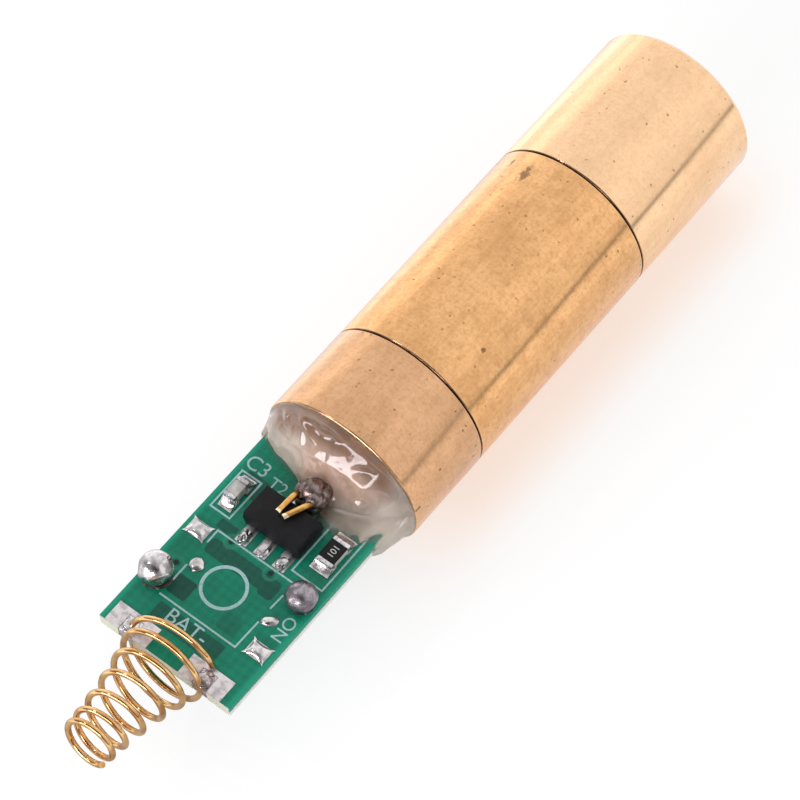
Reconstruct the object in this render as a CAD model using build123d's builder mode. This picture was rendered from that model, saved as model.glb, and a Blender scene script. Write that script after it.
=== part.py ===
from build123d import *
import math
import os

# Laser diode module, in millimetres.
# +X runs along the beam, out of the front face, whose centre is the origin.
# +Z is the component side of the driver board, behind the barrel.

# Turned brass barrel
barrel_dia = 12.0
front_len = 12.0
middle_len = 17.1
rear_len = 6.7
nose_chamfer = 0.3
joint_chamfer = 0.1
fit_gap = 0.02

# Front section, lens cell and filter
front_wall = 1.5
lip_thick = 1.0
lip_width = 1.5
aperture_chamfer = 0.4
cell_len = 6.0
cell_wall = 1.0
cell_slot_width = 0.8
cell_slot_depth = 0.6
lens_ledge = 1.2
lens_edge = 1.2
lens_sag = 0.7
lens_rim_gap = 0.8
filter_ledge = 0.5
filter_thick = 0.8

# Middle section, expander lens and crystals
front_spigot_len = 3.0
beam_bore_dia = 3.0
expander_dia = 4.0
expander_thick = 1.0
expander_sag = 0.3
expander_recess = 0.2
holder_lip = 0.7
holder_exit_dia = 1.4
crystal_width = 1.6
laser_crystal_len = 0.8
doubling_crystal_len = 2.0

# Rear section and pump diode
rear_spigot_len = 3.0
spigot_wall = 1.2
diode_setback = 0.8
pocket_wall = 1.2
pocket_depth = 2.5
header_dia = 5.6
header_thick = 1.2
header_notch = 0.4
post_width = 1.2
post_height = 0.9
post_len = 1.3
chip_len = 0.5
chip_width = 0.3
chip_thick = 0.12
cap_dia = 3.55
cap_len = 2.3
cap_wall = 0.2
cap_rim_dia = 4.4
cap_rim_thick = 0.25
cap_hole_dia = 1.6
cap_room = 0.1
window_dia = 2.6
window_thick = 0.3
seal_dia = 1.0

# Diode leads
lead_dia = 0.45
lead_circle_dia = 2.0
lead_bend = 1.2
lead_clearance = 0.08
lead_inner_len = 0.5
lead_tip_setback = 1.2
lead_root_setback = 2.75
lead_rise_setback = 1.2
lead_rise_height = 1.75
left_tip_y = 0.33
left_root_y = 0.25
right_tip_y = -0.17
right_root_y = -0.85
case_lead_overlap = 2.7

# Driver board, laid out in a row from its front edge: transistor, switch land, spring
board_width = 10.4
board_thick = 1.0
board_top = 0.8
board_gap = 0.35
pad_thick = 0.05
transistor_setback = 6.6
switch_setback = 4.15
end_setback = 6.15

# Switch land on the board, with no switch fitted
switch_pitch_x = 4.2
switch_pad_inset = 1.05
switch_pad_len = 1.1
switch_pad_width = 1.45
tall_blob_dia = 2.3
tall_blob_height = 2.0
tall_blob_shift = 0.25
round_blob_dia = 2.1
round_blob_foot = 40
dot_dia = 0.95
dot_height = 0.22
left_dot_x = 0.15
left_dot_y = 2.65
right_dot_x = -0.1
right_dot_y = -3.4

# Power transistor
transistor_y = 0.0
transistor_len = 2.5
transistor_width = 4.5
transistor_height = 1.5
transistor_draft = 7.0
transistor_lead_len = 1.0
transistor_lead_width = 0.46
transistor_lead_gap = 1.04
transistor_lead_thick = 0.4
transistor_tab_width = 1.65
transistor_tab_len = 0.8
transistor_pad_margin = 0.22

# Chip capacitor
capacitor_setback = 5.25
capacitor_gap = 1.175
capacitor_len = 1.6
capacitor_width = 0.85
capacitor_height = 0.8
capacitor_end_len = 0.32

# Chip resistor
resistor_setback = 4.95
resistor_gap = 0.775
resistor_len = 2.0
resistor_width = 1.25
resistor_height = 0.5
resistor_end_len = 0.35
resistor_coat_thick = 0.04

# Pads and solder at the chip ends
chip_pad_len = 0.95
chip_pad_margin = 0.12
solder_climb = 0.8

# Conical contact spring
wire_dia = 0.42
spring_turns = 6.9
spring_len = 8.14
seat_radius = 2.95
tip_radius = 1.6
base_pitch = 0.4
tip_pitch = 0.3
spring_tilt = 9.8
spring_yaw = 2.7
spring_y = 0.16
spring_inset = 0.76
seat_lean = 0.75
seat_clearance = 0.04
points_per_turn = 8

# Slots that the spring is wound through, and its pads
slot_width = 1.15
slot_depth = 1.2
spring_pad_len = 1.55
spring_pad_width = 3.3
spring_solder_dia = 1.7
spring_solder_height = 0.5

# Solder where the diode leads meet the board
lead_solder_dia = 1.7
lead_solder_height = 2.15
lead_solder_y = -0.3
case_pad_len = 2.2
case_pad_width = 1.8
case_solder_height = 0.8

# Potting glue
glue_rim = 0.12
glue_reach = 4.5
glue_lean = 2.5

# Places worked out from the sizes
barrel_r = barrel_dia / 2
cell_dia = barrel_dia - 2 * front_wall
cell_r = cell_dia / 2
aperture_dia = cell_dia - 2 * lip_width
lens_dia = cell_dia - 2 * cell_wall
cell_bore_dia = lens_dia - 2 * lens_ledge
filter_dia = cell_bore_dia + 2 * filter_ledge
can_bore_r = cap_rim_dia / 2 + cap_room
holder_r = can_bore_r + spigot_wall
pocket_dia = barrel_dia - 2 * pocket_wall
lead_r = lead_dia / 2
wire_r = wire_dia / 2
joint_1_x = -front_len
joint_2_x = joint_1_x - middle_len
rear_x = joint_2_x - rear_len
cell_front_x = -lip_thick
cell_rear_x = cell_front_x - cell_len
lens_seat_x = cell_front_x - lens_rim_gap - lens_edge
filter_seat_x = cell_rear_x + filter_thick
nose_x = joint_1_x + front_spigot_len
expander_seat_x = nose_x - expander_thick - expander_recess
holder_rear_x = joint_2_x + rear_spigot_len
crystal_joint_x = holder_rear_x + laser_crystal_len
crystal_front_x = crystal_joint_x + doubling_crystal_len
holder_front_x = crystal_front_x + holder_lip
header_front_x = joint_2_x - diode_setback
header_rear_x = header_front_x - header_thick
cap_front_x = header_front_x + cap_len
pocket_x = rear_x + pocket_depth
board_front_x = rear_x - board_gap
transistor_near_x = board_front_x - transistor_setback
switch_x = transistor_near_x - switch_setback
board_end_x = switch_x - end_setback
board_len = board_front_x - board_end_x
board_bottom = board_top - board_thick
board_half = board_width / 2
pad_top = board_top + pad_thick
under_pad = board_bottom - pad_thick
switch_pad_y = board_half - switch_pad_inset
transistor_far_x = transistor_near_x + transistor_len
transistor_x = transistor_near_x + transistor_len / 2
transistor_top = pad_top + transistor_height
transistor_lead_rows = [
    transistor_y + row * (transistor_lead_width + transistor_lead_gap) for row in (-1, 0, 1)
]
capacitor_x = board_front_x - capacitor_setback
capacitor_y = transistor_y + transistor_width / 2 + capacitor_gap + capacitor_width / 2
resistor_x = board_front_x - resistor_setback
resistor_y = transistor_y - transistor_width / 2 - resistor_gap - resistor_width / 2
spring_x = board_end_x + spring_inset
spring_z = board_top - board_thick / 2
slot_x = board_end_x + slot_depth / 2
slot_sides = (spring_y + seat_radius, spring_y - seat_radius)
lead_solder_x = transistor_far_x + transistor_tab_len + lead_solder_dia / 8
case_pad_x = board_front_x - case_lead_overlap + lead_dia


def keep(piece, name):
    """Name a finished piece and write it to its own file."""
    piece.part.label = name
    export_step(piece.part, f"parts/{name}.step")


def across(x):
    """Plane square to the beam at x, with Y to its right and Z up."""
    return Plane.YZ.offset(x)


def side_view(x, y, z):
    """Upright plane through a point, with X to its right and Z up."""
    return Plane(origin=(x, y, z), x_dir=(1, 0, 0), z_dir=(0, -1, 0))


def dome(x, y, z, dia, height, up=1):
    """Solder set as a cap of a sphere on the plane at z, towards +Z or -Z."""
    with BuildPart() as cap:
        with BuildSketch(side_view(x, y, z)):
            with BuildLine():
                TangentArc((0, up * height), (dia / 2, 0), tangent=(1, 0))
                Polyline((dia / 2, 0), (0, 0), (0, up * height))
            make_face()
        revolve(axis=Axis((x, y, z), (0, 0, 1)))
    return cap.part


def drop(x, y, z, dia, height):
    """Solder set as a drop, widest above its foot, on the plane at z."""
    foot_r = dia * 0.4
    waist = height - dia / 2
    with BuildPart() as bead:
        with BuildSketch(side_view(x, y, z)):
            with BuildLine():
                TangentArc((dia / 2, waist), (foot_r, 0), tangent=(0, -1))
                TangentArc((dia / 2, waist), (0, height), tangent=(0, 1))
                Polyline((0, height), (0, 0), (foot_r, 0))
            make_face()
        revolve(axis=Axis((x, y, z), (0, 0, 1)))
    return bead.part


def solder_wedge(x, y, heading, length, width, height):
    """Solder that runs up the end face of a chip, hollow in side view; heading is the way it points."""
    with BuildPart() as wedge:
        with BuildSketch(side_view(x, y, pad_top)):
            with BuildLine():
                Polyline((0, height), (0, 0), (heading * length, 0))
                ThreePointArc((heading * length, 0), (heading * length * 0.42, height * 0.46), (0, height))
            make_face()
        extrude(amount=width / 2, both=True)
    return wedge.part


def chip_ends(x, length, end_len):
    """Middle x of the two metal ends of a chip that lies along X."""
    return (x - (length - end_len) / 2, x + (length - end_len) / 2)


def spring_point(turn):
    """Centre of the spring wire after so many turns, counted from the right-hand side of the board."""
    share = turn / spring_turns
    angle = 2 * math.pi * turn
    tilt = math.radians(spring_tilt)
    fade = min(1.0, (1 - share) / (1 - 1 / spring_turns))
    radius = tip_radius + (seat_radius - tip_radius) * fade**2
    run = spring_len * (3 * share**2 - 2 * share**3)
    run += base_pitch * spring_turns * (share - 2 * share**2 + share**3)
    run += tip_pitch * spring_turns * (share**3 - share**2)
    lean = seat_lean * max(0.0, 1 - 2 * turn) ** 2
    height = radius * math.sin(angle)
    return (
        spring_x + lean - run * math.cos(tilt) + height * math.sin(tilt),
        spring_y - run * math.sin(math.radians(spring_yaw)) - radius * math.cos(angle),
        spring_z + run * math.sin(tilt) + height * math.cos(tilt),
    )


os.makedirs("parts", exist_ok=True)

# Front brass section: a tube with a lip round the aperture
with BuildPart() as front_barrel:
    with BuildSketch():
        with BuildLine():
            Polyline(
                (0, aperture_dia / 2 + aperture_chamfer),
                (0, barrel_r - nose_chamfer),
                (-nose_chamfer, barrel_r),
                (joint_1_x + joint_chamfer, barrel_r),
                (joint_1_x, barrel_r - joint_chamfer),
                (joint_1_x, cell_r),
                (cell_front_x, cell_r),
                (cell_front_x, aperture_dia / 2),
                (-aperture_chamfer, aperture_dia / 2),
                close=True,
            )
        make_face()
    revolve(axis=Axis.X)
keep(front_barrel, "front_barrel")

# Lens cell against the lip, with a lens seat in front, a filter seat behind and two spanner slots
with BuildPart() as lens_cell:
    with BuildSketch():
        with BuildLine():
            Polyline(
                (cell_front_x, lens_dia / 2),
                (cell_front_x, cell_r - fit_gap),
                (cell_rear_x, cell_r - fit_gap),
                (cell_rear_x, filter_dia / 2),
                (filter_seat_x, filter_dia / 2),
                (filter_seat_x, cell_bore_dia / 2),
                (lens_seat_x, cell_bore_dia / 2),
                (lens_seat_x, lens_dia / 2),
                close=True,
            )
        make_face()
    revolve(axis=Axis.X)
    with BuildSketch(across(cell_rear_x)):
        Rectangle(cell_dia, cell_slot_width)
    extrude(amount=cell_slot_depth, mode=Mode.SUBTRACT)
keep(lens_cell, "lens_cell")

with BuildPart() as collimating_lens:
    lens_r = lens_dia / 2 - fit_gap
    with BuildSketch():
        with BuildLine():
            TangentArc(
                (lens_seat_x + lens_edge + lens_sag, 0), (lens_seat_x + lens_edge, lens_r), tangent=(0, 1)
            )
            Polyline(
                (lens_seat_x + lens_edge, lens_r),
                (lens_seat_x, lens_r),
                (lens_seat_x, 0),
                (lens_seat_x + lens_edge + lens_sag, 0),
            )
        make_face()
    revolve(axis=Axis.X)
keep(collimating_lens, "collimating_lens")

with BuildPart() as ir_filter:
    with BuildSketch(across(cell_rear_x)):
        Circle(filter_dia / 2 - fit_gap)
    extrude(amount=filter_thick)
keep(ir_filter, "ir_filter")

# Middle brass section: a nose that screws into the front section, and a bore for the crystals
with BuildPart() as middle_barrel:
    with BuildSketch():
        with BuildLine():
            Polyline(
                (nose_x, expander_dia / 2),
                (nose_x, cell_r - fit_gap),
                (joint_1_x, cell_r - fit_gap),
                (joint_1_x, barrel_r - joint_chamfer),
                (joint_1_x - joint_chamfer, barrel_r),
                (joint_2_x + joint_chamfer, barrel_r),
                (joint_2_x, barrel_r - joint_chamfer),
                (joint_2_x, holder_r),
                (holder_front_x, holder_r),
                (holder_front_x, beam_bore_dia / 2),
                (expander_seat_x, beam_bore_dia / 2),
                (expander_seat_x, expander_dia / 2),
                close=True,
            )
        make_face()
    revolve(axis=Axis.X)
keep(middle_barrel, "middle_barrel")

with BuildPart() as expander_lens:
    expander_r = expander_dia / 2 - fit_gap
    expander_front_x = expander_seat_x + expander_thick
    with BuildSketch():
        with BuildLine():
            TangentArc((expander_front_x - expander_sag, 0), (expander_front_x, expander_r), tangent=(0, 1))
            Polyline(
                (expander_front_x, expander_r),
                (expander_seat_x, expander_r),
                (expander_seat_x, 0),
                (expander_front_x - expander_sag, 0),
            )
        make_face()
    revolve(axis=Axis.X)
keep(expander_lens, "expander_lens")

# Crystal holder: a plug with a square pocket for the bonded pair and a round way out
with BuildPart() as crystal_holder:
    with BuildSketch(across(holder_rear_x)):
        Circle(holder_r - fit_gap)
    extrude(amount=holder_front_x - holder_rear_x)
    with BuildSketch(across(holder_rear_x)):
        Rectangle(crystal_width + 2 * fit_gap, crystal_width + 2 * fit_gap)
    extrude(amount=crystal_front_x - holder_rear_x, mode=Mode.SUBTRACT)
    with BuildSketch(across(crystal_front_x)):
        Circle(holder_exit_dia / 2)
    extrude(amount=holder_lip, mode=Mode.SUBTRACT)
keep(crystal_holder, "crystal_holder")

with BuildPart() as laser_crystal:
    with BuildSketch(across(holder_rear_x)):
        Rectangle(crystal_width, crystal_width)
    extrude(amount=laser_crystal_len)
keep(laser_crystal, "laser_crystal")

with BuildPart() as doubling_crystal:
    with BuildSketch(across(crystal_joint_x)):
        Rectangle(crystal_width, crystal_width)
    extrude(amount=doubling_crystal_len)
keep(doubling_crystal, "doubling_crystal")

# Rear brass section: a spigot round the diode's can, the diode's seat and the glue pocket
with BuildPart() as rear_barrel:
    with BuildSketch():
        with BuildLine():
            Polyline(
                (holder_rear_x, can_bore_r),
                (holder_rear_x, holder_r - fit_gap),
                (joint_2_x, holder_r - fit_gap),
                (joint_2_x, barrel_r - joint_chamfer),
                (joint_2_x - joint_chamfer, barrel_r),
                (rear_x + joint_chamfer, barrel_r),
                (rear_x, barrel_r - joint_chamfer),
                (rear_x, pocket_dia / 2),
                (pocket_x, pocket_dia / 2),
                (pocket_x, header_dia / 2),
                (header_front_x, header_dia / 2),
                (header_front_x, can_bore_r),
                close=True,
            )
        make_face()
    revolve(axis=Axis.X)
keep(rear_barrel, "rear_barrel")

# Diode header: a disc with rim notches and lead holes, and the post that carries the chip
with BuildPart() as diode_header:
    with BuildSketch(across(header_rear_x)):
        Circle(header_dia / 2 - fit_gap)
        with Locations((lead_circle_dia / 2, 0), (-lead_circle_dia / 2, 0)):
            Circle(seal_dia / 2, mode=Mode.SUBTRACT)
        with PolarLocations(header_dia / 2, 2):
            Rectangle(header_notch, header_notch, rotation=45, mode=Mode.SUBTRACT)
        with Locations((0, header_dia / 2)):
            Rectangle(header_notch, header_notch, mode=Mode.SUBTRACT)
    extrude(amount=header_thick)
    with BuildSketch(across(header_front_x)):
        with Locations((0, -post_height / 2 - chip_thick)):
            Rectangle(post_width, post_height)
        with Locations((lead_circle_dia / 2, 0), (-lead_circle_dia / 2, 0)):
            Circle(seal_dia / 2, mode=Mode.SUBTRACT)
    extrude(amount=post_len)
keep(diode_header, "diode_header")

with BuildPart() as lead_seals:
    with BuildSketch(across(header_rear_x)):
        with Locations((lead_circle_dia / 2, 0), (-lead_circle_dia / 2, 0)):
            Circle(seal_dia / 2)
            Circle(lead_r, mode=Mode.SUBTRACT)
    extrude(amount=header_thick)
keep(lead_seals, "lead_seals")

with BuildPart() as laser_chip:
    with BuildSketch(across(header_front_x + post_len - chip_len)):
        with Locations((0, -chip_thick / 2)):
            Rectangle(chip_width, chip_thick)
    extrude(amount=chip_len)
keep(laser_chip, "laser_chip")

with BuildPart() as diode_cap:
    with BuildSketch():
        with BuildLine():
            Polyline(
                (header_front_x, cap_dia / 2 - cap_wall),
                (header_front_x, cap_rim_dia / 2),
                (header_front_x + cap_rim_thick, cap_rim_dia / 2),
                (header_front_x + cap_rim_thick, cap_dia / 2),
                (cap_front_x, cap_dia / 2),
                (cap_front_x, cap_hole_dia / 2),
                (cap_front_x - cap_wall, cap_hole_dia / 2),
                (cap_front_x - cap_wall, cap_dia / 2 - cap_wall),
                close=True,
            )
        make_face()
    revolve(axis=Axis.X)
keep(diode_cap, "diode_cap")

with BuildPart() as diode_window:
    with BuildSketch(across(cap_front_x - cap_wall - window_thick)):
        Circle(window_dia / 2)
    extrude(amount=window_thick)
keep(diode_window, "diode_window")

# Board: a strip with two open slots in its end for the spring
with BuildPart() as circuit_board:
    with BuildSketch(Plane.XY.offset(board_bottom)):
        with Locations((board_front_x - board_len / 2, 0)):
            Rectangle(board_len, board_width)
        with Locations(*[(slot_x, y) for y in slot_sides]):
            Rectangle(slot_depth, slot_width, mode=Mode.SUBTRACT)
    extrude(amount=board_thick)
keep(circuit_board, "circuit_board")

# Tinned pads on the component side
with BuildPart() as tinned_pads:
    with BuildSketch(Plane.XY.offset(board_top)):
        with Locations(*[(board_end_x + spring_pad_len / 2, y) for y in slot_sides]):
            Rectangle(spring_pad_len, spring_pad_width)
        with Locations(*[(slot_x, y) for y in slot_sides]):
            Rectangle(slot_depth, slot_width, mode=Mode.SUBTRACT)
        with Locations((switch_x, 0)):
            with GridLocations(switch_pitch_x, 2 * switch_pad_y, 2, 2):
                Rectangle(switch_pad_len, switch_pad_width)
        for place in chip_ends(capacitor_x, capacitor_len + chip_pad_len / 2, chip_pad_len / 2):
            with Locations((place, capacitor_y)):
                Rectangle(chip_pad_len, capacitor_width + chip_pad_margin)
        for place in chip_ends(resistor_x, resistor_len + chip_pad_len / 2, chip_pad_len / 2):
            with Locations((place, resistor_y)):
                Rectangle(chip_pad_len, resistor_width + chip_pad_margin)
        with Locations(*[(transistor_near_x - transistor_lead_len / 2, y) for y in transistor_lead_rows]):
            Rectangle(
                transistor_lead_len + 2 * transistor_pad_margin,
                transistor_lead_width + 2 * transistor_pad_margin,
            )
        with Locations((transistor_far_x, transistor_y)):
            Rectangle(2 * transistor_tab_len, transistor_tab_width + 2 * transistor_pad_margin)
    extrude(amount=pad_thick)
keep(tinned_pads, "tinned_pads")

with BuildPart() as underside_pad:
    with BuildSketch(Plane.XY.offset(under_pad)):
        with Locations((case_pad_x, 0)):
            Rectangle(case_pad_len, case_pad_width)
    extrude(amount=pad_thick)
keep(underside_pad, "underside_pad")

# Power transistor: moulded body with a drafted upper half, three leads and a heat tab
with BuildPart() as driver_transistor:
    with BuildSketch(Plane.XY.offset(pad_top)):
        with Locations((transistor_x, transistor_y)):
            Rectangle(transistor_len, transistor_width)
    extrude(amount=transistor_height / 2)
    extrude(
        driver_transistor.faces().sort_by(Axis.Z)[-1], amount=transistor_height / 2, taper=transistor_draft
    )
keep(driver_transistor, "driver_transistor")

with BuildPart() as transistor_leads:
    with BuildSketch(Plane.XY.offset(pad_top)):
        with Locations(*[(transistor_near_x - transistor_lead_len / 2, y) for y in transistor_lead_rows]):
            Rectangle(transistor_lead_len, transistor_lead_width)
        with Locations((transistor_far_x + transistor_tab_len / 2, transistor_y)):
            Rectangle(transistor_tab_len, transistor_tab_width)
    extrude(amount=transistor_lead_thick)
keep(transistor_leads, "transistor_leads")

with BuildPart() as transistor_solder:
    for row in transistor_lead_rows:
        add(
            solder_wedge(
                transistor_near_x - transistor_lead_len,
                row,
                -1,
                transistor_pad_margin,
                transistor_lead_width,
                transistor_lead_thick * solder_climb,
            )
        )
keep(transistor_solder, "transistor_solder")

# Chip capacitor between its metal ends
with BuildPart() as chip_capacitor:
    with BuildSketch(Plane.XY.offset(pad_top)):
        with Locations((capacitor_x, capacitor_y)):
            Rectangle(capacitor_len - 2 * capacitor_end_len, capacitor_width)
    extrude(amount=capacitor_height)
keep(chip_capacitor, "chip_capacitor")

with BuildPart() as capacitor_ends:
    with BuildSketch(Plane.XY.offset(pad_top)):
        for place in chip_ends(capacitor_x, capacitor_len, capacitor_end_len):
            with Locations((place, capacitor_y)):
                Rectangle(capacitor_end_len, capacitor_width)
    extrude(amount=capacitor_height)
keep(capacitor_ends, "capacitor_ends")

with BuildPart() as capacitor_solder:
    for heading in (-1, 1):
        add(
            solder_wedge(
                capacitor_x + heading * capacitor_len / 2,
                capacitor_y,
                heading,
                chip_pad_len / 2,
                capacitor_width,
                capacitor_height * solder_climb,
            )
        )
keep(capacitor_solder, "capacitor_solder")

# Chip resistor: pale ceramic with a black coat on top, between its metal ends
with BuildPart() as chip_resistor:
    with BuildSketch(Plane.XY.offset(pad_top)):
        with Locations((resistor_x, resistor_y)):
            Rectangle(resistor_len - 2 * resistor_end_len, resistor_width)
    extrude(amount=resistor_height)
keep(chip_resistor, "chip_resistor")

with BuildPart() as resistor_coat:
    with BuildSketch(Plane.XY.offset(pad_top + resistor_height)):
        with Locations((resistor_x, resistor_y)):
            Rectangle(resistor_len - 2 * resistor_end_len, resistor_width)
    extrude(amount=resistor_coat_thick)
keep(resistor_coat, "resistor_coat")

with BuildPart() as resistor_ends:
    with BuildSketch(Plane.XY.offset(pad_top)):
        for place in chip_ends(resistor_x, resistor_len, resistor_end_len):
            with Locations((place, resistor_y)):
                Rectangle(resistor_end_len, resistor_width)
    extrude(amount=resistor_height)
keep(resistor_ends, "resistor_ends")

with BuildPart() as resistor_solder:
    for heading in (-1, 1):
        add(
            solder_wedge(
                resistor_x + heading * resistor_len / 2,
                resistor_y,
                heading,
                chip_pad_len / 2,
                resistor_width,
                resistor_height * solder_climb,
            )
        )
keep(resistor_solder, "resistor_solder")

# Solder left on two of the switch pads: a tall drop and a round ball
with BuildPart() as tall_solder_blob:
    tall_x = switch_x - switch_pitch_x / 2 + tall_blob_shift
    add(drop(tall_x, switch_pad_y, pad_top, tall_blob_dia, tall_blob_height))
keep(tall_solder_blob, "tall_solder_blob")

with BuildPart() as round_solder_blob:
    with Locations((switch_x + switch_pitch_x / 2, -switch_pad_y, pad_top)):
        Sphere(round_blob_dia / 2, arc_size1=-round_blob_foot, align=(Align.CENTER, Align.CENTER, Align.MIN))
keep(round_solder_blob, "round_solder_blob")

with BuildPart() as solder_dots:
    add(dome(switch_x + left_dot_x, left_dot_y, board_top, dot_dia, dot_height))
    add(dome(switch_x + right_dot_x, right_dot_y, board_top, dot_dia, dot_height))
keep(solder_dots, "solder_dots")

# Diode leads: two climb over the board and stop above the transistor, one runs under the board
lead_z = transistor_top + lead_r + lead_clearance
lead_start_x = header_front_x + lead_inner_len
lead_rise_x = board_front_x - lead_rise_setback
lead_root_x = transistor_near_x + lead_root_setback
lead_tip_x = transistor_near_x + lead_tip_setback

with BuildPart() as left_lead:
    with BuildLine() as left_route:
        FilletPolyline(
            (lead_start_x, lead_circle_dia / 2, 0),
            (pocket_x, lead_circle_dia / 2, 0),
            (lead_rise_x, (lead_circle_dia / 2 + left_root_y) / 2, lead_rise_height),
            (lead_root_x, left_root_y, lead_z),
            (lead_tip_x, left_tip_y, lead_z),
            radius=lead_bend,
        )
    with BuildSketch(Plane(origin=left_route.line @ 0, z_dir=left_route.line % 0)):
        Circle(lead_r)
    sweep()
keep(left_lead, "left_lead")

with BuildPart() as right_lead:
    with BuildLine() as right_route:
        FilletPolyline(
            (lead_start_x, -lead_circle_dia / 2, 0),
            (pocket_x, -lead_circle_dia / 2, 0),
            (lead_rise_x, (right_root_y - lead_circle_dia / 2) / 2, lead_rise_height),
            (lead_root_x, right_root_y, lead_z),
            (lead_tip_x, right_tip_y, lead_z),
            radius=lead_bend,
        )
    with BuildSketch(Plane(origin=right_route.line @ 0, z_dir=right_route.line % 0)):
        Circle(lead_r)
    sweep()
keep(right_lead, "right_lead")

with BuildPart() as case_lead:
    case_lead_z = under_pad - lead_r - lead_clearance
    with BuildLine() as case_route:
        FilletPolyline(
            (header_rear_x, 0, -lead_circle_dia / 2),
            (pocket_x, 0, -lead_circle_dia / 2),
            (board_front_x, 0, case_lead_z),
            (board_front_x - case_lead_overlap, 0, case_lead_z),
            radius=lead_bend,
        )
    with BuildSketch(Plane(origin=case_route.line @ 0, z_dir=case_route.line % 0)):
        Circle(lead_r)
    sweep()
keep(case_lead, "case_lead")

with BuildPart() as lead_solder:
    add(drop(lead_solder_x, lead_solder_y, pad_top, lead_solder_dia, lead_solder_height))
    for neighbour in (left_lead, right_lead, driver_transistor, transistor_leads):
        add(neighbour.part, mode=Mode.SUBTRACT)
keep(lead_solder, "lead_solder")

with BuildPart() as case_lead_solder:
    add(dome(case_pad_x - case_pad_len / 4, 0, under_pad, case_pad_width, case_solder_height, up=-1))
    add(case_lead.part, mode=Mode.SUBTRACT)
keep(case_lead_solder, "case_lead_solder")

# Conical spring: its cut end lies on the right-hand pad, the first turn goes over the board, down the
# left slot, under the board and up the right slot, and the rest stands free behind the board
with BuildPart() as contact_spring:
    rest_height = pad_top + seat_clearance + wire_r - spring_z
    first_turn = math.asin(rest_height / (seat_radius * math.cos(math.radians(spring_tilt)))) / (2 * math.pi)
    steps = round((spring_turns - first_turn) * points_per_turn)
    turns = [first_turn + (spring_turns - first_turn) * step / steps for step in range(steps + 1)]
    with BuildLine() as coil:
        Spline(*[spring_point(turn) for turn in turns])
    with BuildSketch(Plane(origin=coil.line @ 0, z_dir=coil.line % 0)):
        Circle(wire_r)
    sweep()
keep(contact_spring, "contact_spring")

# Solder that fills each slot round the wire and stands up a little on its pad
with BuildPart() as spring_solder:
    for side in slot_sides:
        with BuildSketch(Plane.XY.offset(board_bottom)):
            with Locations((slot_x, side)):
                Rectangle(slot_depth, slot_width)
        extrude(amount=pad_top - board_bottom)
        add(dome(slot_x, side, pad_top, spring_solder_dia, spring_solder_height))
    add(contact_spring.part, mode=Mode.SUBTRACT)
keep(spring_solder, "spring_solder")

# Potting glue: fills the pocket behind the diode and slumps over the board, further on the right
with BuildPart() as potting_glue:
    with BuildSketch(across(rear_x)):
        Circle(barrel_r - glue_rim)
    with BuildSketch(across(rear_x - glue_reach * 0.34)):
        with Locations((-glue_lean * 0.1, 0)):
            Ellipse(barrel_r * 0.97, barrel_r * 0.82)
    with BuildSketch(across(rear_x - glue_reach * 0.72)):
        with Locations((-glue_lean * 0.55, 0)):
            Ellipse(barrel_r * 0.74, barrel_r * 0.5)
    with BuildSketch(across(rear_x - glue_reach)):
        with Locations((-glue_lean, board_top - board_thick / 2)):
            Ellipse(barrel_r * 0.38, barrel_r * 0.2)
    loft()
    with BuildSketch(across(rear_x)):
        Circle(pocket_dia / 2)
    extrude(amount=pocket_depth)
    with BuildSketch(across(header_rear_x)):
        Circle(header_dia / 2)
    extrude(amount=pocket_x - header_rear_x)
    for neighbour in (
        circuit_board,
        tinned_pads,
        underside_pad,
        left_lead,
        right_lead,
        case_lead,
        lead_solder,
        case_lead_solder,
        driver_transistor,
        transistor_leads,
        chip_resistor,
        resistor_coat,
        resistor_ends,
        resistor_solder,
        chip_capacitor,
        capacitor_ends,
        capacitor_solder,
    ):
        add(neighbour.part, mode=Mode.SUBTRACT)
keep(potting_glue, "potting_glue")
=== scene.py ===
"""Laser diode module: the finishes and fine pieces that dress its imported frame."""

import math

import bmesh
import bpy
from bpy.props import FloatProperty, FloatVectorProperty, IntProperty, PointerProperty
from mathutils import Matrix, Vector, noise


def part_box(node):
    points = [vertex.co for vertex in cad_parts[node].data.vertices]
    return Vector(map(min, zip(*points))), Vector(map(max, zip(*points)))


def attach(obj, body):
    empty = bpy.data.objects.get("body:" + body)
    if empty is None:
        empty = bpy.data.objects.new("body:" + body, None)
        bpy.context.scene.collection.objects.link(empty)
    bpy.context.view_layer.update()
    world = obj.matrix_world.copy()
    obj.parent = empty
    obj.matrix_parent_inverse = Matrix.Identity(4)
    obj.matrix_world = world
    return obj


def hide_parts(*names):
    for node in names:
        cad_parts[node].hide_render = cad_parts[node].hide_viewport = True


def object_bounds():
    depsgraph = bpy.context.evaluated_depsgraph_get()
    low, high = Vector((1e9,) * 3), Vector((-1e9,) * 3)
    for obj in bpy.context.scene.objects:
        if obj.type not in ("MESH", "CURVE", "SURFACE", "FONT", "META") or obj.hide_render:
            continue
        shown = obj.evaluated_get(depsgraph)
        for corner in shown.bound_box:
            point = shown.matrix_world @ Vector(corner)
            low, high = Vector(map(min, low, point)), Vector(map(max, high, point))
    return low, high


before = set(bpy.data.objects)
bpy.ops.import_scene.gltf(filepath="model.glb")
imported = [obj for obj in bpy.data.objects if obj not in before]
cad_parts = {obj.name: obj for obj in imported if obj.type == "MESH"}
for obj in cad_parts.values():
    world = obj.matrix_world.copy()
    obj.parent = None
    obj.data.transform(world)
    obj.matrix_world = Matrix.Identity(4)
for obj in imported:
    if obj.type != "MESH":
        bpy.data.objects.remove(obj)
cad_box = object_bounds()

bl_info = {
    "name": "Laser Diode Module",
    "version": (1, 0, 0),
    "blender": (4, 5, 0),
    "location": "View3D > Sidebar > Laser Module",
    "description": "Dresses the frame of a brass laser diode module with its driver board",
    "category": "Object",
}

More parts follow.
